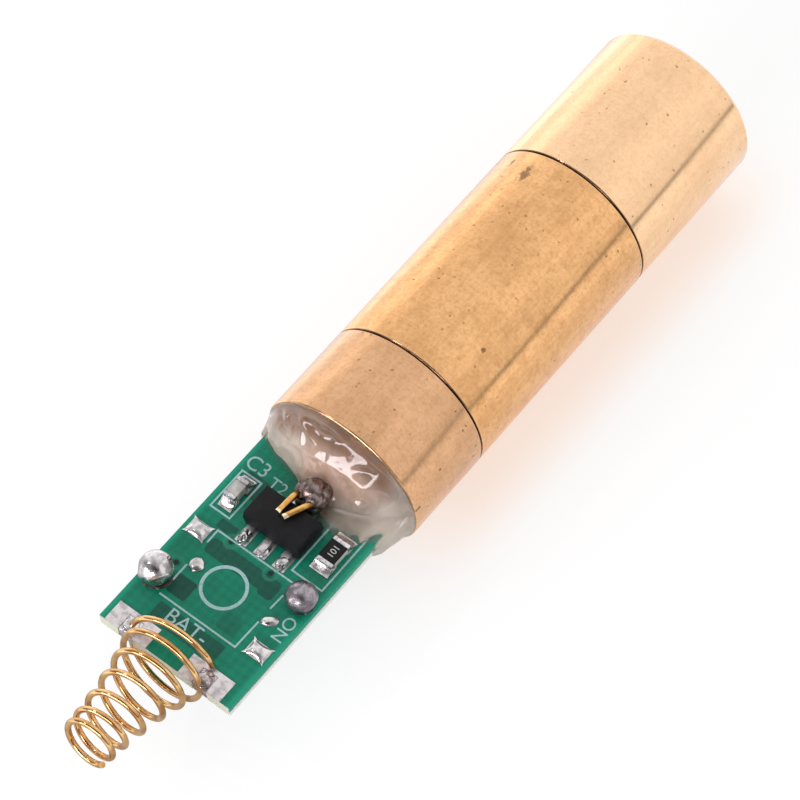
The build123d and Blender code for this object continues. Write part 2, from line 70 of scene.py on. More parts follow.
MM = 0.001
ORIGIN = (0.0, 0.0, 0.0)
X_AXIS = (1.0, 0.0, 0.0)
Z_AXIS = (0.0, 0.0, 1.0)
MERGE_GAP = 0.0005

# Sizes that no node's box gives, in millimetres
spigot_length = 3.0
pocket_depth = 2.5
pocket_wall = 1.2
fit_gap = 0.05
switch_from_end = 6.15
switch_pad_x = 2.1
switch_pad_inset = 1.05
slot_depth = 1.2
slot_width = 1.15
slot_sides = (3.11, -2.79)


def node_box(name):
    """Lowest and highest corner of a node of the frame, in millimetres."""
    low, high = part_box(name)
    return low / MM, high / MM


# Places read from the frame, in millimetres
front_low, front_high = node_box("front_barrel")
barrel_r = front_high.z
joint_1_x = front_low.x
joint_2_x = node_box("rear_barrel")[1].x - spigot_length
rear_x = node_box("rear_barrel")[0].x
board_low, board_high = node_box("circuit_board")
board_top = board_high.z
pad_top = node_box("tinned_pads")[1].z
switch_x = board_low.x + switch_from_end
switch_pad_y = board_high.y - switch_pad_inset


# Shaping

def spun(bm, profile, axis, centre, steps, closed=True):
    """Turn a profile, a list of points, into a round body about an axis."""
    verts = [bm.verts.new(point) for point in profile]
    pairs = list(zip(verts, verts[1:]))
    if closed:
        pairs.append((verts[-1], verts[0]))
    edges = [bm.edges.new(pair) for pair in pairs]
    bmesh.ops.spin(
        bm, geom=verts + edges, cent=centre, axis=axis, angle=2 * math.pi, steps=steps, use_merge=True
    )
    bmesh.ops.remove_doubles(bm, verts=bm.verts, dist=MERGE_GAP)


def turned(bm, profile, steps, closed=True):
    """Turn a profile of places along X and their radii about the barrel's axis."""
    spun(bm, [(x, 0.0, radius) for x, radius in profile], X_AXIS, ORIGIN, steps, closed)


def round_edges(bm, edges, offset, segments=2):
    """Bevel edges to a small round."""
    bmesh.ops.bevel(
        bm,
        geom=list(edges),
        offset=offset,
        offset_type="OFFSET",
        segments=segments,
        profile=0.5,
        affect="EDGES",
        clamp_overlap=True,
        material=-1,
    )


def sharp_edges(bm, degrees=30.0):
    """Edges whose faces meet at more than an angle."""
    bm.normal_update()
    limit = math.radians(degrees)
    return [edge for edge in bm.edges if edge.is_manifold and edge.calc_face_angle(0.0) > limit]


def block(bm, low, high, edge=0.0):
    """A box between two corners, with its edges rounded where edge is above zero."""
    low, high = Vector(low), Vector(high)
    verts = bmesh.ops.create_cube(bm, size=1.0)["verts"]
    bmesh.ops.scale(bm, vec=high - low, verts=verts)
    bmesh.ops.translate(bm, vec=(low + high) / 2, verts=verts)
    if edge > 0.0:
        round_edges(bm, {link for vert in verts for link in vert.link_edges}, edge)


def soft_block(bm, cuts, shape):
    """A cube cut into a grid, each point sent through shape(u, v, w), where u, v and w go from -1 to 1."""
    grid = bmesh.new()
    bmesh.ops.create_cube(grid, size=2.0)
    bmesh.ops.subdivide_edges(grid, edges=grid.edges, cuts=cuts, use_grid_fill=True)
    for vert in grid.verts:
        vert.co = shape(*vert.co)
    mesh = bpy.data.meshes.new("grid")
    grid.to_mesh(mesh)
    grid.free()
    merge_mesh(bm, mesh)


def soft_ball(bm, centre, radii, rough=0.0, flat_below=None, grain=1.6, turn=0.0):
    """A ball of solder or flux with an uneven skin, cut flat at a height where flat_below is given."""
    centre = Vector(centre)
    spin = Matrix.Rotation(turn, 3, "Z")
    verts = bmesh.ops.create_uvsphere(bm, u_segments=40, v_segments=24, radius=1.0)["verts"]
    for vert in verts:
        uneven = 1.0 + rough * noise.noise(vert.co * grain + centre)
        vert.co = centre + spin @ Vector([c * r * uneven for c, r in zip(vert.co, radii)])
        if flat_below is not None:
            vert.co.z = max(vert.co.z, flat_below)


def curve_mesh(curve):
    """Mesh of a wire or of letters, in place of the curve."""
    holder = bpy.data.objects.new(curve.name, curve)
    bpy.context.scene.collection.objects.link(holder)
    depsgraph = bpy.context.evaluated_depsgraph_get()
    mesh = bpy.data.meshes.new_from_object(holder.evaluated_get(depsgraph))
    bpy.data.objects.remove(holder)
    bpy.data.curves.remove(curve)
    return mesh


def merge_mesh(bm, mesh):
    """Add a mesh to a bmesh and drop it."""
    bm.from_mesh(mesh)
    bpy.data.meshes.remove(mesh)


def wire(bm, points, radius, smooth_line):
    """Add a round wire along points, as a smooth curve or point by point."""
    curve = bpy.data.curves.new("wire", "CURVE")
    curve.dimensions = "3D"
    curve.bevel_depth = radius
    curve.bevel_resolution = 6
    curve.resolution_u = 16
    curve.use_fill_caps = True
    spline = curve.splines.new("NURBS" if smooth_line else "POLY")
    spline.points.add(len(points) - 1)
    for knot, point in zip(spline.points, points):
        knot.co = (*point, 1.0)
    if smooth_line:
        spline.order_u = 3
        spline.use_endpoint_u = True
    merge_mesh(bm, curve_mesh(curve))


def word(bm, letters, place, size, turn, height):
    """Add raised letters, centred on a place and turned about Z."""
    curve = bpy.data.curves.new("word", "FONT")
    curve.body = letters
    curve.size = size
    curve.align_x = "CENTER"
    curve.align_y = "CENTER"
    curve.extrude = height / 2
    mesh = curve_mesh(curve)
    mesh.transform(Matrix.Translation(place) @ Matrix.Rotation(turn, 4, "Z"))
    merge_mesh(bm, mesh)


def add_piece(bm, name, slot, materials, stands_for=(), crease=40.0):
    """Turn a bmesh in millimetres into a piece that rides on the module."""
    bmesh.ops.recalc_face_normals(bm, faces=bm.faces)
    bmesh.ops.scale(bm, vec=(MM, MM, MM), verts=bm.verts)
    mesh = bpy.data.meshes.new(name)
    bm.to_mesh(mesh)
    bm.free()
    mesh.shade_smooth()
    mesh.set_sharp_from_angle(angle=math.radians(crease))
    for material in materials:
        mesh.materials.append(material)
    piece = bpy.data.objects.new(name, mesh)
    bpy.context.scene.collection.objects.link(piece)
    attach(piece, "root")
    if stands_for:
        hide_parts(*stands_for)


def paint_nodes(material, *names):
    """Give frame nodes that stay in view a material."""
    for name in names:
        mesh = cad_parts[name].data
        mesh.materials.clear()
        mesh.materials.append(material)


# Shading

class Shade:
    """Adds and joins the nodes of one material, world or node group."""

    def __init__(self, tree):
        self.tree = tree

    def add(self, kind, inputs=None, **settings):
        node = self.tree.nodes.new("ShaderNode" + kind)
        for key, value in settings.items():
            setattr(node, key, value)
        self.feed(node, inputs or {})
        return node

    def feed(self, node, inputs):
        for key, value in inputs.items():
            if isinstance(value, bpy.types.NodeSocket):
                self.tree.links.new(value, node.inputs[key])
            else:
                node.inputs[key].default_value = value

    def math(self, operation, first, *others):
        """One value from one, two or more, taken in turn."""
        result = first
        for value in others or (0.0,):
            result = self.add("Math", {0: result, 1: value}, operation=operation).outputs[0]
        return result

    def times(self, *values):
        return self.math("MULTIPLY", *values)

    def vector(self, operation, first, second):
        return self.add("VectorMath", {0: first, 1: second}, operation=operation).outputs[0]

    def length(self, vector):
        return self.add("VectorMath", {0: vector}, operation="LENGTH").outputs["Value"]

    def combine(self, x, y, z):
        return self.add("CombineXYZ", {0: x, 1: y, 2: z}).outputs[0]

    def parts(self, vector):
        return self.add("SeparateXYZ", {0: vector}).outputs

    def ramp(self, value, low, high, to_low=0.0, to_high=1.0):
        inputs = {"Value": value, "From Min": low, "From Max": high, "To Min": to_low, "To Max": to_high}
        return self.add("MapRange", inputs, interpolation_type="SMOOTHSTEP").outputs[0]

    def mix(self, share, first, second):
        return self.add("Mix", {0: share, 6: first, 7: second}, data_type="RGBA").outputs[2]

    def over(self, tone, mask, share, colour):
        """A colour laid over a tone by a share of a mask."""
        return self.mix(self.times(mask, share), tone, colour)

    def noise(self, where, scale, detail=4.0, roughness=0.55):
        inputs = {"Vector": where, "Scale": scale, "Detail": detail, "Roughness": roughness}
        return self.add("TexNoise", inputs).outputs["Fac"]

    def group(self, make, **inputs):
        node = self.add("Group", node_tree=bpy.data.node_groups.get(make.__name__) or make())
        self.feed(node, {key.replace("_", " ").title(): value for key, value in inputs.items()})
        return node.outputs[0]

    def bump(self, height, strength, depth):
        inputs = {"Height": height, "Strength": strength, "Distance": depth * MM}
        return self.add("Bump", inputs).outputs["Normal"]


def start_group(name, takes, gives):
    """A node group with its named inputs and its one output."""
    tree = bpy.data.node_groups.new(name, "ShaderNodeTree")
    for label, kind in takes.items():
        tree.interface.new_socket(name=label, in_out="INPUT", socket_type="NodeSocket" + kind)
    tree.interface.new_socket(name=gives, in_out="OUTPUT", socket_type="NodeSocketFloat")
    entry = tree.nodes.new("NodeGroupInput").outputs
    leave = tree.nodes.new("NodeGroupOutput").inputs[0]
    return tree, Shade(tree), entry, leave


def blotches():
    """Cloudy patches, 0 to 1, as tarnish and stains spread."""
    takes = {"Vector": "Vector", "Scale": "Float", "Low": "Float", "High": "Float"}
    tree, shade, entry, leave = start_group("blotches", takes, "Mask")
    cloud = shade.noise(entry["Vector"], entry["Scale"], 6.0, 0.62)
    tree.links.new(shade.ramp(cloud, entry["Low"], entry["High"]), leave)
    return tree


def turned_marks():
    """Height of fine lines round a lathe-turned skin, whose axis is X."""
    takes = {"Vector": "Vector", "Along": "Float", "Around": "Float"}
    tree, shade, entry, leave = start_group("turned_marks", takes, "Height")
    stretch = shade.combine(entry["Along"], entry["Around"], entry["Around"])
    lines = shade.noise(shade.vector("MULTIPLY", entry["Vector"], stretch), 1.0, 5.0, 0.7)
    tree.links.new(lines, leave)
    return tree


def specks():
    """Small scattered dots, 0 to 1."""
    takes = {"Vector": "Vector", "Scale": "Float", "Size": "Float", "Share": "Float"}
    tree, shade, entry, leave = start_group("specks", takes, "Mask")
    bend = shade.add("TexNoise", {"Vector": entry["Vector"], "Scale": 3.0, "Detail": 2.0}).outputs["Color"]
    bent = shade.vector("ADD", entry["Vector"], shade.vector("MULTIPLY", bend, (0.35, 0.35, 0.35)))
    cells = shade.add("TexVoronoi", {"Vector": bent, "Scale": entry["Scale"]}).outputs
    chosen = shade.math("LESS_THAN", shade.parts(cells["Color"])[0], entry["Share"])
    dot = shade.ramp(cells["Distance"], entry["Size"], 0.0)
    tree.links.new(shade.times(dot, chosen), leave)
    return tree


def scratches():
    """Thin straight scratches lying one way, 0 to 1."""
    takes = {"Vector": "Vector", "Turn": "Vector", "Fine": "Float", "Cut": "Float"}
    tree, shade, entry, leave = start_group("scratches", takes, "Mask")
    lie = shade.add("Mapping", {"Vector": entry["Vector"], "Rotation": entry["Turn"]}).outputs[0]
    stretch = shade.combine(0.3, entry["Fine"], entry["Fine"])
    lines = shade.noise(shade.vector("MULTIPLY", lie, stretch), 1.0, 2.0, 0.5)
    tree.links.new(shade.ramp(lines, entry["Cut"], 0.78), leave)
    return tree


def round_band():
    """Ring of grime or wear about a place along X, with a ragged edge, 0 to 1."""
    takes = {"Vector": "Vector", "At": "Float", "Width": "Float", "Ragged": "Float"}
    tree, shade, entry, leave = start_group("round_band", takes, "Mask")
    along = shade.parts(entry["Vector"])[0]
    wander = shade.math("SUBTRACT", shade.noise(entry["Vector"], 2.2, 5.0, 0.7), 0.5)
    off = shade.math("ABSOLUTE", shade.math("SUBTRACT", along, entry["At"]))
    off = shade.math("ADD", off, shade.times(wander, entry["Ragged"]))
    tree.links.new(shade.ramp(off, entry["Width"], shade.times(entry["Width"], 0.35)), leave)
    return tree


def stain_spot():
    """Ragged stain about a point, 0 to 1."""
    takes = {"Vector": "Vector", "Centre": "Vector", "Reach": "Vector"}
    tree, shade, entry, leave = start_group("stain_spot", takes, "Mask")
    off = shade.vector("DIVIDE", shade.vector("SUBTRACT", entry["Vector"], entry["Centre"]), entry["Reach"])
    ragged = shade.math("SUBTRACT", shade.noise(entry["Vector"], 3.6, 4.0, 0.7), 0.5)
    reach = shade.math("ADD", shade.length(off), shade.times(ragged, 2.6))
    tree.links.new(shade.ramp(reach, 1.0, 0.55), leave)
    return tree


def board_field():
    """Rounded rectangle on the board, 0 outside to 1 inside."""
    takes = {"Vector": "Vector", "Centre": "Vector", "Half": "Vector", "Corner": "Float"}
    tree, shade, entry, leave = start_group("board_field", takes, "Mask")
    off = shade.vector("SUBTRACT", entry["Vector"], entry["Centre"])
    off = shade.add("VectorMath", {0: off}, operation="ABSOLUTE").outputs[0]
    inset = shade.vector("SUBTRACT", entry["Half"], shade.combine(entry["Corner"], entry["Corner"], 0.0))
    past = shade.vector("MAXIMUM", shade.vector("SUBTRACT", off, inset), (0.0, 0.0, 0.0))
    flat = shade.vector("MULTIPLY", past, (1.0, 1.0, 0.0))
    gap = shade.math("SUBTRACT", shade.length(flat), entry["Corner"])
    tree.links.new(shade.ramp(gap, 0.03, -0.03), leave)
    return tree


def start_material(name):
    """A new material with its shader and its Object coordinates in millimetres."""
    material = bpy.data.materials.new("finish_" + name)
    material.use_nodes = True
    shade = Shade(material.node_tree)
    shader = material.node_tree.nodes["Principled BSDF"]
    place = shade.add("TexCoord").outputs["Object"]
    where = shade.add("VectorMath", {0: place, "Scale": 1.0 / MM}, operation="SCALE").outputs[0]
    return material, shade, shader, where


def rgba(colour, share=1.0):
    """A colour, or a darker or lighter share of it, with its alpha."""
    return (*(part * share for part in colour), 1.0)


WORN_BRASS = rgba((0.98, 0.60, 0.34))
JOINT_GRIME = rgba((0.06, 0.028, 0.015))
BRASS_STAIN = rgba((0.13, 0.075, 0.042))
CUT_GOLD = rgba((0.98, 0.86, 0.58))
FLUX_BROWN = rgba((0.16, 0.09, 0.05))
PALE_FLECK = rgba((0.62, 0.62, 0.60))
MASK_EDGE = rgba((0.012, 0.33, 0.20))


def brass(name, colour, dull, roughness, marks, stain_share, grime=(), wear=(), spots=()):
    """Turned brass: tarnish patches, fine turning lines, scratches, specks, grime at joints, worn rims."""
    material, shade, shader, where = start_material(name)
    broad = shade.group(blotches, vector=where, scale=0.30, low=0.40, high=0.66)
    small = shade.group(blotches, vector=where, scale=1.4, low=0.44, high=0.70)
    peel = shade.noise(where, 4.2, 4.0, 0.65)
    lines = shade.group(turned_marks, vector=where, along=9.0, around=0.35)
    coarse = shade.group(turned_marks, vector=where, along=2.4, around=0.5)
    drawn = shade.group(turned_marks, vector=where, along=0.14, around=1.5)
    cuts = shade.group(scratches, vector=where, turn=(0.0, 0.0, 0.35), fine=9.0, cut=0.69)
    dots = shade.group(specks, vector=where, scale=1.3, size=0.16, share=0.75)
    shifted = shade.vector("ADD", where, (5.0, 9.0, 2.0))
    dust = shade.group(specks, vector=shifted, scale=2.6, size=0.13, share=0.22)

    tone = shade.over(rgba(colour), broad, stain_share * 0.5, rgba(dull))
    tone = shade.over(tone, small, stain_share * 0.55, rgba(dull, 0.9))
    # Tarnish in the fine marks: where it starts and is full, how strong and how dark it is
    for mask, start, full, strength, dark in (
        (peel, 0.42, 0.74, 0.62, 0.72),
        (lines, 0.46, 0.74, 0.40, 0.75),
        (coarse, 0.50, 0.78, 0.30, 0.85),
        (drawn, 0.44, 0.66, 0.45, 0.95),
    ):
        tone = shade.mix(shade.ramp(mask, start, full, 0.0, stain_share * strength), tone, rgba(dull, dark))
    tone = shade.over(tone, cuts, 0.35, rgba(colour, 1.06))
    tone = shade.over(tone, dots, 0.9, rgba(dull, 0.22))
    tone = shade.over(tone, dust, 0.40, rgba(dull, 0.45))
    for bands, stain in ((wear, WORN_BRASS), (grime, JOINT_GRIME)):
        for at, width, ragged, strength in bands:
            band = shade.group(round_band, vector=where, at=at, width=width, ragged=ragged)
            tone = shade.over(tone, band, strength, stain)
    for place, reach in spots:
        spot = shade.group(stain_spot, vector=where, centre=place, reach=reach)
        tone = shade.over(tone, spot, 0.75, BRASS_STAIN)

    uneven = shade.math("ADD", shade.times(broad, 0.03), shade.times(peel, 0.06))
    height = shade.math("ADD", shade.times(lines, 0.5), shade.times(peel, 0.45))
    height = shade.math("SUBTRACT", height, shade.times(cuts, 0.4), shade.times(dots, 0.6))
    shade.feed(shader, {
        "Base Color": tone,
        "Metallic": 1.0,
        "Roughness": shade.math("ADD", uneven, roughness),
        "Normal": shade.bump(height, marks, 0.02),
    })
    return material


def plated(name, colour, shadow, roughness, patch_scale, level=None, tip=None):
    """Gold-plated wire with warm, uneven plating, painted shade below a level, and pale where it was cut."""
    material, shade, shader, where = start_material(name)
    patch = shade.group(blotches, vector=where, scale=patch_scale, low=0.38, high=0.68)
    fine = shade.noise(where, 14.0, 3.0)
    tone = shade.mix(patch, rgba(colour), rgba(shadow))
    parts = shade.parts(where)
    if level is not None:
        # Painted shade: browner below the level, on the wire's underside
        tone = shade.mix(shade.ramp(parts[2], level + 0.12, level - 0.08), tone, rgba(shadow, 0.35))
    if tip is not None:
        tone = shade.mix(shade.ramp(parts[0], tip + 0.22, tip + 0.10), tone, CUT_GOLD)
    shade.feed(shader, {
        "Base Color": tone,
        "Metallic": 1.0,
        "Roughness": shade.ramp(fine, 0.3, 0.75, roughness, roughness + 0.12),
        "Normal": shade.bump(fine, 0.2, 0.005),
    })
    return material


def solder(name, colour, shadow, roughness, crust, stain):
    """Set solder: bright skin with frosted patches, fine crinkles and flux stains."""
    material, shade, shader, where = start_material(name)
    frost = shade.group(blotches, vector=where, scale=1.9, low=0.40, high=0.62)
    shifted = shade.vector("ADD", where, (7.0, 3.0, 1.0))
    flux = shade.group(blotches, vector=shifted, scale=1.2, low=0.52, high=0.70)
    fine = shade.noise(where, 11.0, 6.0, 0.7)
    broad = shade.noise(where, 2.3, 2.0)
    tone = shade.mix(frost, rgba(colour), rgba(shadow))
    height = shade.math("ADD", shade.times(fine, crust), broad)
    shade.feed(shader, {
        "Base Color": shade.over(tone, flux, stain, FLUX_BROWN),
        "Metallic": 1.0,
        "Roughness": shade.ramp(frost, 0.0, 1.0, roughness, roughness + 0.28),
        "Normal": shade.bump(height, 0.35, 0.05),
    })
    return material


def moulded(name, colour, roughness, grain, fleck_share=0.0, sheen=0.5):
    """Filled moulding or ceramic with a fine grain and pale flecks."""
    material, shade, shader, where = start_material(name)
    fine = shade.noise(where, grain, 5.0, 0.65)
    patch = shade.noise(where, 1.1, 3.0)
    flecks = shade.group(specks, vector=where, scale=3.2, size=0.11, share=fleck_share)
    tone = shade.mix(shade.ramp(patch, 0.35, 0.7), rgba(colour, 0.8), rgba(colour, 1.2))
    shade.feed(shader, {
        "Base Color": shade.over(tone, flecks, 0.8, PALE_FLECK),
        "Roughness": shade.ramp(fine, 0.3, 0.7, roughness - 0.08, roughness + 0.1),
        "Specular IOR Level": sheen,
        "Normal": shade.bump(fine, 0.25, 0.015),
    })
    return material


def ink(name, colour):
    """Printed ink, thin in places."""
    material, shade, shader, where = start_material(name)
    thin = shade.noise(where, 6.0, 5.0, 0.7)
    worn = shade.ramp(thin, 0.42, 0.72, 0.0, 0.55)
    shade.feed(shader, {
        "Base Color": shade.mix(worn, rgba(colour), rgba((0.10, 0.30, 0.24))),
        "Roughness": shade.ramp(thin, 0.3, 0.7, 0.42, 0.62),
        "Specular IOR Level": 0.3,
        "Normal": shade.bump(thin, 0.3, 0.02),
    })
    return material


def laminate(name):
    """Cut edge of the glass-fibre board, with painted light making the right side near white, where the mask
    runs over it.
    """
    material, shade, shader, where = start_material(name)
    layers = shade.noise(shade.vector("MULTIPLY", where, (1.2, 1.2, 16.0)), 1.0, 4.0, 0.7)
    ends = shade.noise(where, 9.0, 5.0, 0.7)
    tone = shade.mix(shade.ramp(layers, 0.3, 0.7), rgba((0.74, 0.74, 0.61)), rgba((0.52, 0.54, 0.41)))
    tone = shade.mix(shade.ramp(ends, 0.55, 0.75, 0.0, 0.5), tone, rgba((0.76, 0.76, 0.68)))
    parts = shade.parts(where)
    right = shade.ramp(parts[1], board_low.y + 0.10, board_low.y + 0.02)
    # Painted light: the right side is made near white, as if lit
    tone = shade.over(tone, right, 0.85, rgba((0.95, 0.95, 0.93)))
    ragged = shade.ramp(ends, 0.3, 0.7, -0.06, 0.06)
    run = shade.ramp(shade.math("ADD", parts[2], ragged), board_top - 0.62, board_top - 0.40)
    shade.feed(shader, {
        "Base Color": shade.over(tone, right, run, MASK_EDGE),
        "Roughness": shade.ramp(ends, 0.3, 0.7, 0.5, 0.75),
        "Normal": shade.bump(shade.math("ADD", layers, ends), 0.4, 0.04),
    })
    return material


def bare_fields():
    """Places where the mask lies on bare laminate, and one painted shadow beside the transistor: centre, half
    size, corner radius and strength.
    """
    x, z = switch_x, board_top
    return (
        ((x + 1.75, 0.28, z), (0.58, 2.8, 1.0), 0.35, 0.85),
        ((x + 1.5, -1.95, z), (0.60, 0.58, 1.0), 0.3, 0.9),
        ((x - 1.6, 2.4, z), (0.72, 0.74, 1.0), 0.2, 1.0),
        ((x - 3.75, 0.2, z), (0.68, 2.6, 1.0), 0.12, 0.8),
        ((x - 1.75, -1.55, z), (0.62, 0.72, 1.0), 0.3, 0.4),
        ((x + 6.5, 3.3, z), (0.8, 1.1, 1.0), 0.25, 0.8),
        # Painted shadow beside the end of the transistor, drawn as a darker field
        ((x + 3.3, 2.8, z), (0.35, 0.7, 1.0), 0.15, 0.8),
    )


def via_places():
    """Tented holes in the mask."""
    x, z = switch_x, board_top
    return ((x + 2.70, 1.98, z), (x + 2.49, -1.35, z), (x - 0.50, 3.78, z))


def solder_mask(props):
    """Green mask over copper, darker where there is no copper and in a painted shadow, with tented holes
    painted dark in the middle as shade, and a faint weave.
    """
    material, shade, shader, where = start_material("solder_mask")
    bare = rgba(props.bare_colour)
    cloud = shade.noise(where, 0.9, 4.0, 0.6)
    grain = shade.noise(where, 5.0, 4.0, 0.6)
    threads = []
    for way in ("X", "Y"):
        wave = {"Vector": where, "Scale": 0.55, "Distortion": 1.2, "Detail": 1.0}
        thread = shade.add("TexWave", wave, bands_direction=way).outputs["Fac"]
        threads.append(shade.ramp(thread, 0.0, 1.0, 0.9, 1.0))
    weave = shade.times(*threads)
    fields = []
    # Darker fields: bare laminate, and one painted shadow by the transistor
    for centre, half, corner, share in bare_fields():
        field = shade.group(board_field, vector=where, centre=centre, half=half, corner=corner)
        fields.append(shade.times(field, share))
    bare_and_shade_mask = shade.math("MAXIMUM", *fields)
    tone = shade.mix(bare_and_shade_mask, rgba(props.mask_colour), bare)
    tone = shade.mix(shade.ramp(cloud, 0.35, 0.8, 0.0, 0.25), tone, bare)
    tone = shade.vector("MULTIPLY", tone, shade.combine(weave, weave, weave))
    holes = []
    for centre in via_places():
        off = shade.vector("MULTIPLY", shade.vector("SUBTRACT", where, centre), (1.0, 1.0, 0.0))
        reach = shade.length(off)
        ring = shade.times(shade.ramp(reach, 0.60, 0.52), shade.ramp(reach, 0.30, 0.40))
        tone = shade.over(tone, ring, 0.55, rgba((0.03, 0.27, 0.16)))
        # Painted shade: the middle of each hole is near black
        holes.append(shade.ramp(reach, 0.26, 0.14))
        tone = shade.mix(holes[-1], tone, rgba((0.006, 0.028, 0.02)))
    side = shade.math("ABSOLUTE", shade.parts(where)[1])
    edge = shade.ramp(side, board_high.y - 0.45, board_high.y - 0.12, 0.0, 0.8)
    pit = shade.math("MAXIMUM", *holes)
    height = shade.math("SUBTRACT", shade.times(grain, 0.25), shade.times(bare_and_shade_mask, 0.15), pit)
    shade.feed(shader, {
        "Base Color": shade.mix(edge, tone, MASK_EDGE),
        "Roughness": shade.ramp(grain, 0.3, 0.7, 0.22, 0.36),
        "Specular IOR Level": 0.22,
        "Normal": shade.bump(height, 0.4, 0.04),
    })
    return material


def glass(name, colour, ior):
    """Clear optical glass with a faint haze of dust."""
    material, shade, shader, where = start_material(name)
    dust = shade.group(specks, vector=where, scale=5.0, size=0.09, share=0.3)
    shade.feed(shader, {
        "Base Color": shade.mix(dust, rgba(colour), rgba(colour, 0.85)),
        "Roughness": shade.ramp(dust, 0.0, 1.0, 0.02, 0.2),
        "IOR": ior,
        "Transmission Weight": 1.0,
    })
    return material


def potting(props):
    """Clear skin of the potting glue: glossy, rippled, faintly amber, duller at its foot on the board."""
    material, shade, shader, where = start_material("potting_glue")
    wisps = shade.group(blotches, vector=where, scale=1.3, low=0.48, high=0.70)
    fine = shade.noise(where, 2.4, 3.0, 0.5)
    parts = shade.parts(where)
    foot = shade.times(shade.ramp(parts[2], 1.50, 1.25), shade.ramp(parts[1], -0.8, -1.6))
    gloss = shade.ramp(wisps, 0.0, 1.0, 0.03, 0.10)
    shade.feed(shader, {
        "Base Color": shade.mix(wisps, rgba(props.clear_colour), rgba(props.clear_colour, 0.9)),
        "Roughness": shade.math("ADD", gloss, shade.times(foot, 0.3)),
        "IOR": 1.5,
        "Transmission Weight": props.clearness,
        "Coat Weight": shade.ramp(foot, 0.0, 1.0, 0.7, 0.05),
        "Coat Roughness": 0.03,
        "Normal": shade.bump(fine, 0.12, 0.1),
    })
    return material


def glue_cloud(props):
    """Milky clouds inside the glue, thin along the rim, where the brass shows through."""
    material, shade, shader, where = start_material("glue_cloud")
    milk = shade.group(blotches, vector=where, scale=0.5, low=0.34, high=0.66)
    wisps = shade.group(blotches, vector=where, scale=1.6, low=0.42, high=0.72)
    parts = shade.parts(where)
    behind = shade.math("SUBTRACT", rear_x, parts[0])
    left = shade.ramp(parts[1], 0.6, 2.6)
    right = shade.ramp(parts[1], -3.5, -4.6)
    low = shade.times(shade.ramp(parts[2], 2.6, 1.0), shade.ramp(parts[1], -0.6, -1.8))
    rim = shade.times(shade.ramp(behind, 1.2, 0.45), shade.ramp(parts[1], -5.0, -3.4, 0.25, 1.0))
    lead_place = (rear_x - 3.3, -0.5, 2.3)
    off = shade.vector("DIVIDE", shade.vector("SUBTRACT", where, lead_place), (1.0, 1.2, 0.9))
    lead_stain = shade.ramp(shade.length(off), 1.1, 0.5, 0.0, 0.85)
    tone = shade.mix(left, rgba(props.warm_colour), rgba(props.milk_colour))
    tone = shade.over(tone, low, 0.8, rgba((0.46, 0.43, 0.35)))
    tone = shade.mix(right, tone, rgba((0.97, 0.87, 0.79)))
    tone = shade.over(tone, wisps, 0.35, rgba((0.86, 0.80, 0.74)))
    tone = shade.mix(rim, tone, rgba((0.52, 0.235, 0.095)))
    tone = shade.mix(lead_stain, tone, rgba((0.36, 0.27, 0.25)))
    thick = shade.ramp(behind, 0.3, 2.0, 0.80, 0.95)
    shade.feed(shader, {
        "Base Color": tone,
        "Roughness": 0.6,
        "Specular IOR Level": 0.1,
        "Alpha": shade.times(thick, shade.ramp(milk, 0.0, 1.0, 0.92, 1.12)),
    })
    return material


def finish(name, make, **values):
    """The material of that name, made once."""
    return bpy.data.materials.get("finish_" + name) or make(name, **values)


def bright_solder():
    return finish("solder_bright", solder, colour=(0.76, 0.73, 0.73), shadow=(0.48, 0.44, 0.46),
                  roughness=0.10, crust=0.25, stain=0.3)


def tinned_copper():
    return finish("pad_tin", solder, colour=(0.74, 0.69, 0.70), shadow=(0.56, 0.52, 0.53),
                  roughness=0.32, crust=0.3, stain=0.2)


# Settings

def colour_setting(name, description, default):
    """A colour that a user may change."""
    return FloatVectorProperty(
        name=name, description=description, subtype="COLOR", default=default, min=0.0, max=1.0)


def length_setting(name, description, default):
    """A length that a user may change, with its default in millimetres."""
    return FloatProperty(name=name, description=description, unit="LENGTH", default=default * MM)


class LASER_PG_barrel(bpy.types.PropertyGroup):
    """Brass barrel of three sections."""

    front_colour: colour_setting("Front Colour", "Pale brass of the front section", (0.98, 0.65, 0.385))
    middle_colour: colour_setting("Middle Colour", "Deeper brass of the middle section", (0.92, 0.52, 0.24))
    rear_colour: colour_setting("Rear Colour", "Tan brass of the rear section", (0.775, 0.445, 0.245))
    facets: IntProperty(
        name="Facets", description="Steps round each turned section", default=160, min=24, max=512)
    edge_round: length_setting("Edge Round", "Radius of the turned edges", 0.05)


class LASER_PG_board(bpy.types.PropertyGroup):
    """Driver board and what is printed on it."""

    mask_colour: colour_setting("Mask Colour", "Green mask over copper", (0.003, 0.238, 0.138))
    bare_colour: colour_setting("Bare Colour", "Green mask where there is no copper", (0.008, 0.085, 0.058))
    ink_colour: colour_setting("Ink Colour", "Printed lines and letters", (0.40, 0.60, 0.60))
    ink_width: length_setting("Ink Width", "Width of a printed line", 0.125)
    ink_height: length_setting("Ink Height", "How far print stands off the mask", 0.015)


class LASER_PG_spring(bpy.types.PropertyGroup):
    """Conical contact spring, wound through the slots of the board."""

    wire_diameter: length_setting("Wire Diameter", "Thickness of the wire", 0.42)
    turns: FloatProperty(name="Turns", description="Turns from seat to tip", default=6.9)
    length: length_setting("Length", "Seat to tip", 8.14)
    seat_radius: length_setting("Seat Radius", "Radius of the turn in the slots", 2.95)
    tip_radius: length_setting("Tip Radius", "Radius of the last turn", 1.6)
    tilt: FloatProperty(
        name="Tilt", description="Lift of the tip", subtype="ANGLE", default=math.radians(9.8))
    yaw: FloatProperty(
        name="Yaw", description="Swing of the tip to the right", subtype="ANGLE", default=math.radians(2.7))
    colour: colour_setting("Colour", "Gold plating", (0.87, 0.55, 0.25))


